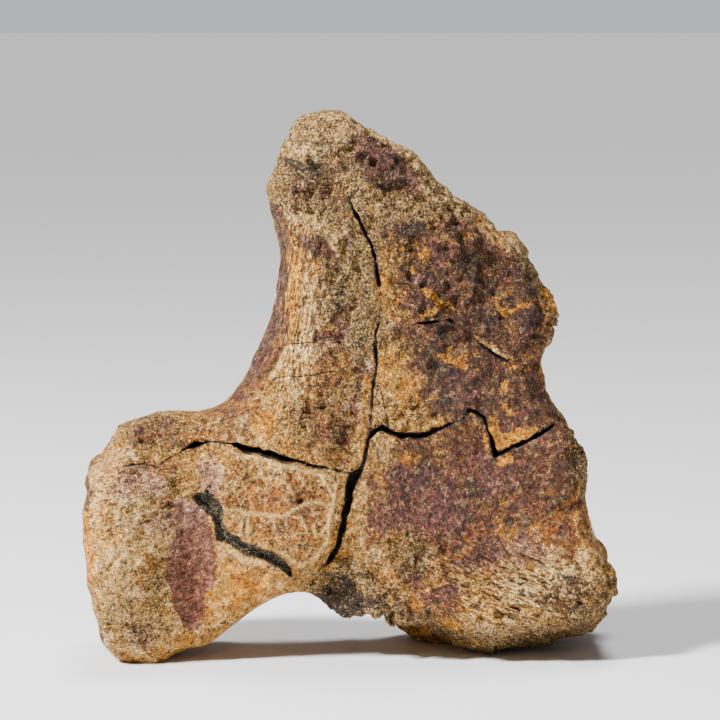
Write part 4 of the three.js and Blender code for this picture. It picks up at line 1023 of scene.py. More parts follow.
def evaluated_mesh(source, name):
    """A plain mesh of the object as its modifiers leave it."""
    graph = bpy.context.evaluated_depsgraph_get()
    mesh = bpy.data.meshes.new_from_object(source.evaluated_get(graph))
    mesh.name = name
    return mesh


origin = np.array([*MIDDLE, 0])
triangles = np.concatenate([quads[:, [0, 1, 2]], quads[:, [0, 2, 3]]])
bone_piece = new_object("vertebra_bone", (points - origin) * MM, triangles)
lighten = bone_piece.modifiers.new("lighten", "DECIMATE")
lighten.ratio = min(1, FACE_LIMIT / len(triangles))
light_mesh = evaluated_mesh(bone_piece, "vertebra_bone")
bone_piece.modifiers.remove(lighten)
bone_piece.data = light_mesh
light_mesh.polygons.foreach_set("use_smooth", np.ones(len(light_mesh.polygons), bool))
print("bone:", len(triangles), "triangles lightened to", len(light_mesh.polygons),
      round(time.time() - started, 1), "s")

# %% [markdown]
# ## Stains as attributes
# Each stain, and the distance to the nearest crack, is stored as a number at each vertex. A signed
# distance to a crack stays exact between vertices, so the material can draw a hairline that is thinner
# than a face. An image would need pixels as fine as the hairline itself.

# %% Read the maps at every vertex
places = np.empty(len(light_mesh.vertices) * 3, np.float32)
light_mesh.vertices.foreach_get("co", places)
places = places.reshape(-1, 3) / MM + origin
px, py, pz = places.T
on_kept_side = smooth_step(-3, 3, middle_y(px) - py)
on_far_side = 1 - on_kept_side
level_fibres = np.maximum(np.maximum(foot_fibres, 0.6 * left_fibres), 0.4 * plum_patch)
masks = np.stack(
    [stains[name] for stains in (kept_stains, far_stains) for name in STAINS]
    + [plate_mask, level_fibres, column_fibres, veins, kept_rough, far_rough]
)
looked = look_up(masks, px, pz)
kept_at, far_at = look_up(kept_cracks, px, pz), look_up(far_cracks, px, pz)
crack_at = np.where(on_kept_side > 0.5, kept_at, far_at)
print("maps read:", len(masks), "at", len(px), "vertices")

# %% Store the stains
# The joint faces look along the bone, so no side drawing reaches them: their stains are patches in space.
END_STAINS = {"matrix": (13, 50), "rust": (12, 51), "umber": (9, 52), "plum": (10, 53), "cream": (8, 54)}
facing = np.empty(len(light_mesh.vertices) * 3, np.float32)
light_mesh.vertex_normals.foreach_get("vector", facing)
on_end = smooth_step(0.55, 0.85, np.abs(facing[::3])) * (np.abs(px) > 50)


def store(mesh, name, values):
    """Keeps one number for each vertex under a name that materials and Geometry Nodes can read."""
    layer = mesh.attributes.new(name, "FLOAT", "POINT")
    layer.data.foreach_set("value", np.asarray(values, np.float32))


def on_both(kept, far):
    """The values of the two sides, each on its own side."""
    return on_kept_side * kept + on_far_side * far


for name, kept, far in zip(STAINS, looked, looked[len(STAINS):]):
    stain = on_both(kept, far)
    if name in END_STAINS:
        size, seed = END_STAINS[name]
        patch = smooth_step(0, 0.4, noise(px / size, py / size, pz / size, seed))
        stain = (1 - on_end) * stain + on_end * np.maximum(0.4 * stain, 0.7 * patch)
    store(light_mesh, name, stain)
matrix_row = STAINS.index("matrix")
sandiness = np.maximum(on_kept_side * looked[matrix_row], on_far_side * looked[len(STAINS) + matrix_row])
print("stains stored:", len(STAINS))

# %% Store the fibres, cracks and grit
# Depth below the bone's own skin, from which the finish paints deep places darker as painted shade.
SUNK_FROM, SUNK_REACH = 1.4, 2.5  # mm below the bone's own skin
plate_at, level_at, column_at, vein_at, kept_grit, far_grit = looked[2 * len(STAINS):]
depth_below = -bone(px, py, pz, fine=False)
for name, values in {
    "plate": on_kept_side * plate_at,
    "vein": on_kept_side * vein_at,
    "level_fibres": np.maximum(on_kept_side * level_at, 0.35 * on_far_side),
    "upright_fibres": np.maximum(on_kept_side * column_at, 0.3 * on_far_side),
    "crack_side": np.clip(crack_at[0], -3, 3),
    "crack_away": np.clip(crack_at[1], 0, 3),
    "crack_half": crack_at[2],
    "crack_sand": crack_at[4],
    "grit": on_both(kept_grit, far_grit),
    "sunk": np.clip((depth_below - SUNK_FROM) / SUNK_REACH, 0, 1),
}.items():
    store(light_mesh, name, values)
print("attributes:", len(light_mesh.attributes))

# %% [markdown]
# ## Tools for materials
# A node group is a small recipe with named inputs. Three are made here. One breaks the edge of a stain, so
# that it creeps between the grains. One makes the salt-and-pepper of sand. One runs from the deep shade
# of a colour to its pale one. A colour that is mixed straight would look like paint.

# %% Node helpers
FLOAT, VECTOR, COLOUR = "NodeSocketFloat", "NodeSocketVector", "NodeSocketColor"


def colour(red, green, blue):
    """A screen colour from 0 to 255, as the linear colour that shaders use."""
    def linear(c):
        c /= 255
        return c / 12.92 if c <= 0.04045 else ((c + 0.055) / 1.055) ** 2.4
    return (linear(red), linear(green), linear(blue), 1)


def node(tree, kind, inputs=None, **settings):
    """Adds a node. An input is a value or another node's output socket, under its name or number."""
    made = tree.nodes.new(kind)
    for key, value in settings.items():
        setattr(made, key, value)
    for key, value in (inputs or {}).items():
        if isinstance(value, bpy.types.NodeSocket):
            tree.links.new(value, made.inputs[key])
        else:
            made.inputs[key].default_value = value
    return made


def math_node(tree, operation, *values):
    """One sum on values or sockets, and the socket of its answer."""
    return node(tree, "ShaderNodeMath", dict(enumerate(values)), operation=operation).outputs[0]


def step_node(tree, value, low, high, to_low=0.0, to_high=1.0):
    """A soft step of a value from low to high."""
    made = node(
        tree, "ShaderNodeMapRange",
        {"Value": value, "From Min": low, "From Max": high, "To Min": to_low, "To Max": to_high},
        interpolation_type="SMOOTHSTEP",
    )
    return made.outputs["Result"]


def mix_colours(tree, amount, first, second, blend="MIX"):
    """The first colour, covered by the second as far as the amount says."""
    made = node(tree, "ShaderNodeMix", data_type="RGBA", blend_type=blend)
    for index, value in ((0, amount), (6, first), (7, second)):
        if isinstance(value, bpy.types.NodeSocket):
            tree.links.new(value, made.inputs[index])
        else:
            made.inputs[index].default_value = value
    return made.outputs[2]


def noise_node(tree, vector, size, detail=2.0, roughness=0.5, output="Fac"):
    """Noise with blobs of this size in mm."""
    made = node(
        tree, "ShaderNodeTexNoise",
        {"Vector": vector, "Scale": 1 / size, "Detail": detail, "Roughness": roughness},
    )
    return made.outputs[output]


def new_group(name, inputs, outputs, tree_kind="ShaderNodeTree"):
    """A node group, with the sockets it is given and the sockets of its result."""
    tree = bpy.data.node_groups.new(name, tree_kind)
    for label, kind, default in inputs:
        socket = tree.interface.new_socket(label, in_out="INPUT", socket_type=kind)
        if default is not None:
            socket.default_value = default
    for label, kind in outputs:
        tree.interface.new_socket(label, in_out="OUTPUT", socket_type=kind)
    return tree, tree.nodes.new("NodeGroupInput").outputs, tree.nodes.new("NodeGroupOutput").inputs


print("a middle grey is", round(colour(128, 128, 128)[0], 3), "in linear light")

# %% Node groups
broken_stain, given, result = new_group(
    "broken_stain",
    [("Place", VECTOR, None), ("Mask", FLOAT, 0), ("Size", FLOAT, 1.5), ("Raggedness", FLOAT, 0.9),
     ("Grain", FLOAT, 0.5)],
    [("Mask", FLOAT)],
)
count_up = partial(math_node, broken_stain)
moved = given["Mask"]
for share, times, detail in ((1.5, 0.3, 5.0), (1.6, 1.2, 3.0)):
    scale = count_up("DIVIDE", times, given["Size"])
    creep = node(
        broken_stain, "ShaderNodeTexNoise",
        {"Vector": given["Place"], "Scale": scale, "Detail": detail, "Roughness": 0.7},
    ).outputs["Fac"]
    shifted = count_up("MULTIPLY", count_up("SUBTRACT", creep, 0.5), given["Raggedness"])
    moved = count_up("MULTIPLY_ADD", shifted, share, moved)
dithered = count_up("MULTIPLY_ADD", count_up("SUBTRACT", given["Grain"], 0.5), 0.16, moved)
broken_stain.links.new(step_node(broken_stain, dithered, 0.44, 0.56), result["Mask"])

stone_grains, given, result = new_group(
    "stone_grains",
    [("Place", VECTOR, None), ("Size", FLOAT, 0.6)],
    [("Tone", FLOAT), ("Kind", FLOAT), ("Height", FLOAT)],
)
scale = math_node(stone_grains, "DIVIDE", 1.0, given["Size"])
grains = node(stone_grains, "ShaderNodeTexVoronoi", {"Vector": given["Place"], "Scale": scale})
kinds = node(stone_grains, "ShaderNodeSeparateColor", {"Color": grains.outputs["Color"]})
stone_grains.links.new(kinds.outputs["Red"], result["Tone"])
stone_grains.links.new(kinds.outputs["Green"], result["Kind"])
grain_height = math_node(stone_grains, "SUBTRACT", 0.8, grains.outputs["Distance"])
stone_grains.links.new(grain_height, result["Height"])

three_tones, given, result = new_group(
    "three_tones",
    [("Deep", COLOUR, None), ("Middle", COLOUR, None), ("Pale", COLOUR, None), ("Tone", FLOAT, 0.5)],
    [("Colour", COLOUR)],
)
lower_half, upper_half = (step_node(three_tones, given["Tone"], low, low + 0.5) for low in (0.0, 0.5))
shade_below = mix_colours(three_tones, lower_half, given["Deep"], given["Middle"])
whole_range = mix_colours(three_tones, upper_half, shade_below, given["Pale"])
three_tones.links.new(whole_range, result["Colour"])
print("node groups:", [group.name for group in (broken_stain, stone_grains, three_tones)])

# %% [markdown]
# ## The fossil's finish
# The colours lie over each other as they do on the real bone: tan bone first, matrix and cream over it,
# then iron and manganese. All of it is matt. A map painted by hand could hold them, but it would have to
# be painted again after each change. Here a layer is a mask, a colour and the share that it covers.

# %% Palette: deep, middle and pale
PALETTE = {
    "tan": (colour(104, 66, 28), colour(172, 122, 60), colour(216, 174, 108)),
    "cream": (colour(146, 100, 56), colour(216, 174, 113), colour(247, 222, 172)),
    "rust": (colour(72, 34, 14), colour(136, 76, 33), colour(186, 124, 64)),
    "umber": (colour(24, 13, 8), colour(70, 38, 21), colour(124, 78, 42)),
    "plum": (colour(46, 20, 24), colour(101, 56, 53), colour(164, 108, 93)),
    "lilac": (colour(112, 74, 72), colour(172, 128, 112), colour(222, 184, 162)),
    "ochre": (colour(138, 72, 20), colour(210, 134, 46), colour(246, 196, 106)),
    "soot": (colour(10, 8, 9), colour(32, 25, 27), colour(86, 68, 58)),
    "olive": (colour(48, 41, 27), colour(108, 91, 62), colour(164, 143, 101)),
    "filling": (colour(18, 16, 12), colour(56, 50, 38), colour(128, 112, 84)),
}
SAND = [  # colour of the grains, by a random number from 0 to 1
    (0.0, colour(36, 27, 17)), (0.16, colour(76, 58, 34)), (0.38, colour(120, 94, 56)),
    (0.6, colour(150, 120, 73)), (0.8, colour(206, 174, 120)), (0.93, colour(164, 108, 52)),
    (1.0, colour(112, 92, 78)),
]
LAYERS = [  # stain, size and raggedness of its broken edge, how far it covers
    ("cream", 2.2, 1.4, 0.72), ("rust", 2.0, 1.3, 0.85), ("umber", 2.0, 1.3, 0.88),
    ("plum", 1.6, 1.0, 0.85), ("lilac", 1.5, 1.1, 0.6), ("ochre", 1.4, 1.2, 0.85),
    ("soot", 1.5, 1.2, 0.85),
]
DARK_FLECK, PALE_FLECK_AND_HIGHLIGHT = colour(46, 32, 22), colour(226, 194, 142)
# The darker brown colours some of the spongy cells, and is painted shade in pores and hollows.
CELL_BROWN, DARK_CELL_AND_PORE_SHADE = colour(160, 98, 44), colour(48, 30, 18)
# The near black of a crack is painted shade for its depth.
PALE_CREAM, CRACK_SHADE_BLACK = colour(226, 192, 130), colour(14, 12, 10)
print("palette:", ", ".join(PALETTE))

# %% Start the material
fossil = bpy.data.materials.new("fossil_bone")
fossil.use_nodes = True
tree = fossil.node_tree
tree.nodes.clear()
shader = node(tree, "ShaderNodeBsdfPrincipled", {"Specular IOR Level": 0.35})
node(tree, "ShaderNodeOutputMaterial", {"Surface": shader.outputs[0]})
object_place = node(tree, "ShaderNodeTexCoord").outputs["Object"]
in_mm = node(tree, "ShaderNodeVectorMath", {0: object_place, 1: (1 / MM,) * 3}, operation="MULTIPLY")
place = in_mm.outputs[0]

# Short names for the steps that the recipe below repeats.
step, mix, blobs = (partial(tool, tree) for tool in (step_node, mix_colours, noise_node))
add, subtract, times_add, higher = (
    partial(math_node, tree, kind) for kind in ("ADD", "SUBTRACT", "MULTIPLY_ADD", "MAXIMUM")
)


def product(*values):
    """All the values multiplied, so that a mask holds only where each one of them does."""
    made = values[0]
    for value in values[1:]:
        made = math_node(tree, "MULTIPLY", made, value)
    return made


def between(first, second, share):
    """From the first value to the second, as the share goes from 0 to 1."""
    return times_add(share, subtract(second, first), first)


def swing(value, amount, start=0.0):
    """A noise around 0.5 as a swing around the start."""
    return times_add(subtract(value, 0.5), amount, start)


def mask(name):
    """A number that was stored on the mesh."""
    return node(tree, "ShaderNodeAttribute", attribute_name=name).outputs["Fac"]


def combined(x, y, z):
    return node(tree, "ShaderNodeCombineXYZ", {"X": x, "Y": y, "Z": z}).outputs[0]


def split(colour_value):
    """The three channels of a colour. Those of a noise are three noises for the price of one."""
    parts = node(tree, "ShaderNodeSeparateColor", {"Color": colour_value})
    return [parts.outputs[channel] for channel in ("Red", "Green", "Blue")]


print("material started:", fossil.name)

# %% [markdown]
# ## Patterns finer than a stain
# Mottling, bone fibres and grains of sand run through every colour. They are noise, read at places that
# are squeezed along the fibres. Wave textures make lines too, but their lines are too even for bone.

# %% Noises, fibres and grains
MOTTLE_SIZE, FINE_SIZE, GRAIN_SIZE = 1.9, 0.5, 0.4  # mm
LEVEL_SIZE, UPRIGHT_SIZE = 0.65, 0.75  # thickness of the fibres in mm
LEFT_CLIMB, RIGHT_FALL, UPRIGHT_LEAN = -0.0085, 0.42, -0.08
mottle = blobs(place, MOTTLE_SIZE, 4, 0.65)
fine = blobs(place, FINE_SIZE, 3, 0.7)

# Fibres fan out: they climb ever more steeply across the left end, and fall to the right on the foot.
parts = node(tree, "ShaderNodeSeparateXYZ", {"Vector": place})
across, through, above = parts.outputs
from_left = higher(add(across, HALF_LENGTH), 0.0)
left_rise = product(from_left, from_left, LEFT_CLIMB)
rise = between(left_rise, product(across, RIGHT_FALL), step(across, -6.0, 6.0))


def along_level(share):
    """Places for a pattern that the level fibres draw out, with this share left of its fineness."""
    return combined(product(across, share), through, add(above, rise))


def along_upright(share):
    return combined(times_add(above, UPRIGHT_LEAN, across), through, product(above, share))


level = blobs(along_level(0.17), LEVEL_SIZE, 3, 0.65)
upright = blobs(along_upright(0.11), UPRIGHT_SIZE, 3, 0.65)
grains = node(tree, "ShaderNodeGroup", node_tree=stone_grains)
tree.links.new(place, grains.inputs["Place"])
grains.inputs["Size"].default_value = GRAIN_SIZE
loose = mask("loose")
grain_tone = between(grains.outputs["Tone"], mask("tint"), loose)
grain_kind = between(grains.outputs["Kind"], mask("tint"), loose)

level_on, upright_on = mask("level_fibres"), mask("upright_fibres")
tone = swing(mottle, 2.2, swing(grain_tone, 0.35, 0.5))
tone = add(tone, product(swing(level, 3.2), level_on))
tone = add(tone, product(swing(upright, 3.0), upright_on))
print("noises made:", len(tree.nodes), "nodes")

# %% [markdown]
# ## Skin, matrix and stains
# Clean bone and sandstone matrix come first, each with small patches of other colours. The stored stains
# follow in one loop. Their order matters, because each one covers a part of what lies under it, as soot
# covers rust. Adding the colours up instead would turn every overlap to mud.

# %% Skin, matrix and stains


def toned(name, tone):
    """A colour of the palette, from its deep to its pale shade."""
    made = node(tree, "ShaderNodeGroup", node_tree=three_tones)
    for key, value in zip(("Deep", "Middle", "Pale"), PALETTE[name]):
        made.inputs[key].default_value = value
    tree.links.new(tone, made.inputs["Tone"])
    return made.outputs["Colour"]


def broken(name, size, raggedness):
    """A stain's mask, with its edge broken into grains."""
    made = node(tree, "ShaderNodeGroup", node_tree=broken_stain)
    for key, value in (("Place", place), ("Mask", mask(name)), ("Grain", grain_tone)):
        tree.links.new(value, made.inputs[key])
    made.inputs["Size"].default_value = size
    made.inputs["Raggedness"].default_value = raggedness
    return made.outputs["Mask"]


def patched(base, rows, where=None):
    """Small patches of colours over the base, each where a noise is high (or low, with low > high)."""
    for name, field, amount, low, high in rows:
        share = amount if where is None else product(where, amount)
        base = mix(product(step(field, low, high), share), base, toned(name, tone))
    return base


SMALLER, LARGER = 1.7, 4.6  # sizes of the patches in mm
smaller_patches = split(blobs(place, SMALLER, 4, 0.7, "Color"))
larger_patches = split(blobs(place, LARGER, 5, 0.7, "Color"))

# Clean bone: tan, and small patches of ochre, cream, rust and umber.
skin = patched(toned("tan", tone), (
    ("rust", larger_patches[0], 0.5, 0.42, 0.36), ("ochre", larger_patches[1], 0.45, 0.57, 0.62),
    ("cream", larger_patches[2], 0.6, 0.56, 0.62), ("umber", smaller_patches[0], 0.55, 0.38, 0.33),
    ("cream", smaller_patches[1], 0.55, 0.6, 0.66), ("ochre", smaller_patches[2], 0.4, 0.61, 0.66),
))

# Matrix: sand of many colours in small patches of olive, lilac, ochre, umber and cream.
sand = node(tree, "ShaderNodeValToRGB", {"Fac": grain_kind})
while len(sand.color_ramp.elements) < len(SAND):
    sand.color_ramp.elements.new(0.5)
for element, (position, value) in zip(sand.color_ramp.elements, SAND):
    element.position, element.color = position, value
matrix = patched(sand.outputs["Color"], (
    ("olive", larger_patches[0], 0.6, 0.52, 0.6), ("lilac", larger_patches[1], 0.35, 0.42, 0.36),
    ("ochre", smaller_patches[2], 0.45, 0.57, 0.63), ("olive", smaller_patches[0], 0.7, 0.42, 0.36),
    ("umber", smaller_patches[1], 0.65, 0.4, 0.34), ("cream", smaller_patches[1], 0.4, 0.62, 0.68),
))

base = mix(broken("matrix", 2.2, 1.0), skin, matrix)
for name, size, raggedness, cover in LAYERS:
    base = mix(product(broken(name, size, raggedness), cover), base, toned(name, tone))

# Iron and manganese run in small patches wherever the bone is stained dark.
dark_stained = higher(mask("umber"), mask("rust"))
base = patched(base, (
    ("umber", larger_patches[1], 0.85, 0.51, 0.45), ("plum", larger_patches[0], 0.6, 0.52, 0.57),
    ("olive", smaller_patches[2], 0.75, 0.53, 0.59), ("soot", smaller_patches[0], 0.85, 0.43, 0.38),
    ("ochre", larger_patches[2], 0.35, 0.6, 0.66), ("ochre", smaller_patches[1], 0.4, 0.62, 0.68),
    ("cream", smaller_patches[0], 0.3, 0.63, 0.69),
), where=dark_stained)

# Flecks of dark and pale grains lie in every colour, fewer of them on the smooth bone. The pale flecks
# are both pale grains and painted highlights on them.
gritty = step(mask("grit"), 0.2, 1.0, 0.15, 0.85)
dark_grains = product(step(times_add(dark_stained, -0.2, grain_kind), 0.1, 0.06), gritty, 0.8)
base = mix(dark_grains, base, DARK_FLECK)
pale_grains_and_highlights = product(step(grain_tone, 0.92, 0.96), gritty, 0.45, times_add(dark_stained, -0.8, 1.0))
base = mix(pale_grains_and_highlights, base, PALE_FLECK_AND_HIGHLIGHT)
print("colours laid:", len(tree.nodes), "nodes")

# %% [markdown]
# ## Spongy bone, threads and pores
# Where the outer skin is thin, the plate shows the spongy bone under it: brown cells between pale walls.
# Long bone fibres leave dark threads between them, and vessels leave round holes. Voronoi cells give the
# spongy bone and the holes, because real cells of bone are close-packed too, and noise bends them so that
# no wall is straight. The threads are the low places of the fibre noise.

# %% Spongy bone and threads
SPONGE_SIZE, SEAM_SIZE, BEND_SIZE = 1.6, 4.2, 1.6  # mm
bend = blobs(place, BEND_SIZE, 2, 0.5, "Color")
warped = node(tree, "ShaderNodeVectorMath", {0: place, 1: bend}, operation="ADD").outputs[0]


def wall_distance(size):
    """Distance from the walls between bent cells of this size in mm."""
    inputs = {"Vector": warped, "Scale": 1 / size}
    return node(tree, "ShaderNodeTexVoronoi", inputs, feature="DISTANCE_TO_EDGE").outputs["Distance"]


on_vein, on_plate = mask("vein"), mask("plate")
off_vein = subtract(1.0, on_vein)
in_cell = step(wall_distance(SPONGE_SIZE), 0.1, 0.22)
cells_on = product(in_cell, step(mottle, 0.44, 0.52), on_plate, off_vein)
cell_colour = mix(step(larger_patches[2], 0.4, 0.6), DARK_CELL_AND_PORE_SHADE, CELL_BROWN)
base = mix(product(cells_on, 0.75), base, cell_colour)
seams_on = product(step(wall_distance(SEAM_SIZE), 0.08, 0.02), on_plate, step(mottle, 0.46, 0.56))
seams_on = higher(product(seams_on, 0.8), on_vein)
base = mix(product(seams_on, step(fine, 0.3, 0.6, 0.15, 0.65)), base, PALE_CREAM)

upright_dark = product(step(upright, 0.5, 0.38), upright_on)
level_dark = product(step(level, 0.49, 0.38), level_on)
threads = higher(upright_dark, level_dark)
base = mix(product(threads, 0.6), base, toned("umber", tone))
print("spongy bone and threads:", len(tree.nodes), "nodes")

# %% Pores and shade
CRUST_SIZE, WARMTH_SIZE = 1.15, 0.8  # mm
PLATE_PORE, LEVEL_PORE, UPRIGHT_PORE = 1.1, 0.75, 0.8


def pores(vector, size, amount):
    """Small round holes on a vector in mm, long ones where the vector is stretched."""
    dots = node(tree, "ShaderNodeTexVoronoi", {"Vector": vector, "Scale": 1 / size})
    chance = split(dots.outputs["Color"])[2]
    return product(step(dots.outputs["Distance"], 0.4, 0.26), step(chance, 0.5, 0.55), amount)


grit = mask("grit")
crust = blobs(place, CRUST_SIZE, 4, 0.7)
# Painted shade in the low places of the crust, where the bump sinks.
crust_hollow_shade = product(step(crust, 0.42, 0.35), step(grit, 0.1, 0.9, 0.35, 1.0))
shaded_pores_and_hollows = higher(product(crust_hollow_shade, 0.85), pores(place, PLATE_PORE, on_plate))
shaded_pores_and_hollows = higher(shaded_pores_and_hollows, pores(along_level(0.45), LEVEL_PORE, level_on))
shaded_pores_and_hollows = higher(shaded_pores_and_hollows, pores(along_upright(0.35), UPRIGHT_PORE, upright_on))
shaded_pores_and_hollows = product(shaded_pores_and_hollows, off_vein)
# Pores and the low places of the crust are painted dark brown: painted shade in the holes and hollows.
base = mix(product(shaded_pores_and_hollows, 0.85), base, DARK_CELL_AND_PORE_SHADE)

# Painted highlight and shade follow the fine noise and the crusts: lighter where the bump raises the
# surface with them, darker where it lowers it. A third noise makes places redder or bluer.
speckle = step(fine, 0.36, 0.64, -0.66, 0.66)
speckled = times_add(speckle, step(grit, 0.1, 0.9, 0.45, 1.0), 1.0)
shade = product(speckled, step(crust, 0.3, 0.62, 0.62, 1.2))
warmth = blobs(place, WARMTH_SIZE, 3, 0.7)
warmer, cooler = (product(shade, swing(warmth, amount, 1.0)) for amount in (0.35, -0.8))
shading = node(tree, "ShaderNodeCombineColor", {"Red": warmer, "Green": shade, "Blue": cooler})
base = mix(1.0, base, shading.outputs[0], "MULTIPLY")
print("pores and shade:", len(tree.nodes), "nodes")

# %% [markdown]
# ## Cracks, relief and gloss
# A crack is painted near black, as painted shade for its depth, and olive where sand has run in. The
# colour needs the distance to the crack, which is why it was stored. The finest relief goes to a Bump
# node, one sum of heights in mm, because grains and pores under half a millimetre would need millions
# of faces.

# %% Cracks
RAGGED_SIZE, RAGGED_REACH = 0.9, 0.7  # how coarse and how deep the lips of a crack are broken, in mm
ragged = product(subtract(blobs(place, RAGGED_SIZE, 3), 0.5), RAGGED_REACH)
from_crack = add(math_node(tree, "ABSOLUTE", mask("crack_side")), ragged)
crack_half = mask("crack_half")
near_crack = step(subtract(mask("crack_away"), crack_half), 1.0, 0.8)
in_crack = product(step(subtract(from_crack, crack_half), 0.1, -0.06), near_crack)
# A crack takes sand colour as far as it holds sand. Elsewhere it is painted near black, as painted shade in
# the deep gap.
filling = mix(mask("crack_sand"), CRACK_SHADE_BLACK, toned("filling", swing(grain_tone, 1.3, 0.4)))
base = mix(in_crack, base, filling)
# Places sunk deep below the bone's own skin take the same filling: sand colour where the nearest crack holds
# sand, and near black elsewhere, which is painted shade in the deep places.
base = mix(mask("sunk"), base, filling)
base = node(tree, "ShaderNodeHueSaturation", {"Color": base, "Saturation": 1.07, "Value": 1.02}).outputs[0]
tree.links.new(base, shader.inputs["Base Color"])
print("cracks drawn:", len(tree.nodes), "nodes")

# %% Relief and gloss
heights = [  # source and height in mm
    (product(grains.outputs["Height"], gritty), 0.4),
    (fine, 0.65),
    (product(crust, step(grit, 0.1, 1.0, 0.45, 1.3)), 1.7),
    (mottle, 1.1),
    (product(upright, upright_on), 0.9),
    (product(level, level_on), 1.2),
    (cells_on, -0.3),
    (seams_on, 0.25),
    (shaded_pores_and_hollows, -0.45),
    (in_crack, -0.5),
]
relief = 0.0
for source, height in heights:
    relief = times_add(source, height, relief)
bump = node(tree, "ShaderNodeBump", {"Strength": 1.0, "Distance": MM, "Height": relief})
tree.links.new(bump.outputs[0], shader.inputs["Normal"])
# A few grains are quartz, and glint.
tree.links.new(step(grain_kind, 0.86, 0.9, 0.78, 0.36), shader.inputs["Roughness"])

light_mesh.materials.clear()
light_mesh.materials.append(fossil)
print("fossil material:", len(tree.nodes), "nodes")

# %% [markdown]
# ## Loose grains of sand
# The matrix is sandstone, and its grains stand proud where the surface weathers. A particle system could
# scatter them. Geometry Nodes does it here, because the density can follow an attribute, and the grains
# can be made real in the same tree. Each grain is a coarse ball, squashed and turned at random.

# %% Scatter tree
SUNK_SHARE, GRAIN_LEAST, GRAIN_MOST = 0.2, (0.6, 0.6, 0.5), (1.5, 1.2, 1.0)
GEOMETRY, WHOLE = "NodeSocketGeometry", "NodeSocketInt"
sand_tree, given, result = new_group(
    "scatter_sand",
    [("Geometry", GEOMETRY, None), ("Grain size", FLOAT, 0.5 * MM),
     ("Grains per square metre", FLOAT, 1.0e6), ("Seed", WHOLE, 0)],
    [("Geometry", GEOMETRY)],
    "GeometryNodeTree",
)
make = partial(node, sand_tree)

sandy = make("GeometryNodeInputNamedAttribute", {"Name": "sandy"}, data_type="FLOAT").outputs[0]
where = make(
    "ShaderNodeMapRange", {"Value": sandy, "From Min": 0.15, "From Max": 0.9, "To Min": 0.0, "To Max": 1.0},
).outputs["Result"]
density = math_node(sand_tree, "MULTIPLY", where, given["Grains per square metre"])
scatter = make(
    "GeometryNodeDistributePointsOnFaces",
    {"Mesh": given["Geometry"], "Density": density, "Seed": given["Seed"]},
)
# Each grain keeps a tint of its own, and the mark that it is loose, for the finish to read.
tint_seed = math_node(sand_tree, "ADD", given["Seed"], 5.0)
tint = make("FunctionNodeRandomValue", {"Seed": tint_seed}, data_type="FLOAT")
spots = scatter.outputs["Points"]
for name, value in (("tint", tint.outputs[1]), ("loose", 1.0)):
    inputs = {"Geometry": spots, "Name": name, "Value": value}
    kept_number = make("GeometryNodeStoreNamedAttribute", inputs, data_type="FLOAT", domain="POINT")
    spots = kept_number.outputs[0]
sink = make("ShaderNodeVectorMath", {0: scatter.outputs["Normal"]}, operation="SCALE")
how_deep = math_node(sand_tree, "MULTIPLY", given["Grain size"], -SUNK_SHARE)
sand_tree.links.new(how_deep, sink.inputs["Scale"])
sunken = make("GeometryNodeSetPosition", {"Geometry": spots, "Offset": sink.outputs[0]})
ball = make("GeometryNodeMeshIcoSphere", {"Radius": 0.5, "Subdivisions": 1})
turn, squash = (
    make("FunctionNodeRandomValue", {"Min": least, "Max": most}, data_type="FLOAT_VECTOR")
    for least, most in (((0, 0, 0), (6.28, 6.28, 6.28)), (GRAIN_LEAST, GRAIN_MOST))
)
sized = make(
    "ShaderNodeVectorMath", {0: squash.outputs[0], "Scale": given["Grain size"]}, operation="SCALE",
)
placed = make(
    "GeometryNodeInstanceOnPoints",
    {"Points": sunken.outputs[0], "Instance": ball.outputs["Mesh"], "Rotation": turn.outputs[0],
     "Scale": sized.outputs[0]},
)
real = make("GeometryNodeRealizeInstances", {"Geometry": placed.outputs[0]})
coated = make("GeometryNodeSetMaterial", {"Geometry": real.outputs[0], "Material": fossil})
sand_tree.links.new(coated.outputs[0], result["Geometry"])
print("scatter tree:", len(sand_tree.nodes), "nodes")

# %% Scatter the grains
BALL_FACES = 20
# Sand lies on the matrix, and in the cracks that are open.
in_crack_at = smooth_step(0.2, -0.3, crack_at[1] - crack_at[2]) * (crack_at[2] > 0.6)
store(light_mesh, "sandy", np.maximum(sandiness, in_crack_at) * (pz > 0.8))


def scatter_grains(name, size, density, seed):
    """One piece of loose grains over the bone, made real. Size in mm, density in grains per mm²."""
    carrier = bpy.data.objects.new(name, light_mesh.copy())
    bpy.context.scene.collection.objects.link(carrier)
    modifier = carrier.modifiers.new("sand", "NODES")
    modifier.node_group = sand_tree
    sockets = {s.name: s.identifier for s in sand_tree.interface.items_tree if s.in_out == "INPUT"}
    modifier[sockets["Grain size"]] = size * MM
    modifier[sockets["Grains per square metre"]] = density * 1.0e6
    modifier[sockets["Seed"]] = seed
    mesh = evaluated_mesh(carrier, name)
    carrier.modifiers.remove(modifier)
    carrier.data = mesh
    print(name, "grains:", len(mesh.polygons) // BALL_FACES)
    return carrier


grain_pieces = [
    scatter_grains("sand_fine", 0.5, 0.75, 4),
    scatter_grains("sand_coarse", 0.8, 0.22, 9),
]

# %% [markdown]
# ## Telling the frame
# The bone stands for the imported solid, and the grains ride on the same body.

# %% Pieces and body
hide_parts("vertebra")
for piece in (bone_piece, *grain_pieces):
    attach(piece, "root")
print("pieces:", bone_piece.name, *(piece.name for piece in grain_pieces))

# %% [markdown]
# ## Floor, light and camera
# A specimen is shown on a pale table, with one lamp high at the front left, so that grains and cracks
# throw small shadows. A wide, soft sun overhead fills them in, as a white ceiling would. More lamps would
# flatten the relief.

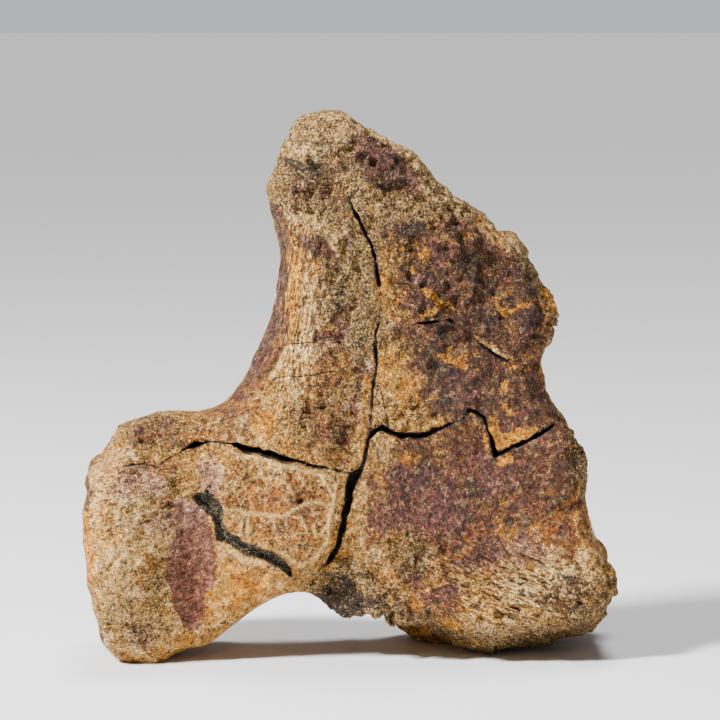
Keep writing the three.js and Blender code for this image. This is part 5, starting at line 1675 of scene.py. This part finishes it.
# %% Floor
FLOOR_REACH = 30  # metres from the middle to each edge
floor_corners = [[x, y, 0] for x, y in ((-1, -1), (1, -1), (1, 1), (-1, 1))]
floor = new_object("floor", FLOOR_REACH * np.array(floor_corners, float), np.array([[0, 1, 2, 3]]))
floor_finish = bpy.data.materials.new("floor")
floor_finish.use_nodes = True
floor_shader = floor_finish.node_tree.nodes["Principled BSDF"]
floor_shader.inputs["Base Color"].default_value = colour(250, 250, 251)
floor_shader.inputs["Roughness"].default_value = 0.5
floor.data.materials.append(floor_finish)
print("floor:", 2 * FLOOR_REACH, "m wide")

# %% Lights
AIM = Vector((0.0022, 0.0, 0.062))  # the middle of the bone, in metres


def stand(name, data, place, aim):
    """Puts a light or a camera at a place and turns it towards its aim."""
    made = bpy.data.objects.new(name, data)
    made.location = place
    made.rotation_euler = (aim - Vector(place)).to_track_quat("-Z", "Y").to_euler()
    bpy.context.scene.collection.objects.link(made)
    return made


KEY_PLACE, KEY_WIDTH, KEY_POWER = (-0.72, -0.5, 0.82), 0.2, 44  # metres and watts
key_data = bpy.data.lights.new("key", "AREA")
key_data.size, key_data.energy = KEY_WIDTH, KEY_POWER
stand("key", key_data, KEY_PLACE, AIM)
SKY_FROM, SKY_SPREAD, SKY_STRENGTH = (0.05, 0.3, 1), math.radians(22), 2.5
sky_data = bpy.data.lights.new("sky", "SUN")
sky_data.energy, sky_data.angle = SKY_STRENGTH, SKY_SPREAD
stand("sky", sky_data, SKY_FROM, Vector())

# The world is a pale ring round the horizon, where the floor ends, and dimmer above.
world = bpy.data.worlds.new("studio")
world.use_nodes = True
world_tree = world.node_tree
around = node(world_tree, "ShaderNodeTexCoord").outputs["Generated"]
height = node(world_tree, "ShaderNodeSeparateXYZ", {"Vector": around}).outputs["Z"]
brightness = step_node(world_tree, height, 0.03, 0.2, 0.8, 0.15)
world_tree.nodes["Background"].inputs["Color"].default_value = colour(226, 228, 234)
world_tree.links.new(brightness, world_tree.nodes["Background"].inputs["Strength"])
bpy.context.scene.world = world
print("lights:", len(bpy.data.lights))

# %% [markdown]
# ## The camera
# The camera looks a little down on the bone. Its lens is long, so that both feet and the crest keep their
# true sizes, as in a plate of a catalogue. A short lens would swell whatever is nearest.

# %% Camera
DISTANCE, VIEW_WIDTH = 0.9, 0.1872  # metres from the bone, and across the view at the bone
ELEVATION, SENSOR = math.radians(5.7), 36  # the sensor is as wide as a frame of 35 mm film
LOOKED_AT_X, LOOKED_AT_Z = 2.86, 76  # the middle of the view, drawn in mm
camera_data = bpy.data.cameras.new("camera")
camera_data.sensor_width = SENSOR
camera_data.lens = SENSOR * DISTANCE / VIEW_WIDTH
target = Vector((LOOKED_AT_X - MIDDLE[0], -MIDDLE[1], LOOKED_AT_Z)) * MM
away = Vector((0, -math.cos(ELEVATION), math.sin(ELEVATION)))
camera = stand("camera", camera_data, target + DISTANCE * away, target)
bpy.context.scene.camera = camera
print("lens:", round(camera_data.lens), "mm")

# %% Sizes, and the end
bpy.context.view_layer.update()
print("done in", round(time.time() - started, 1), "s")
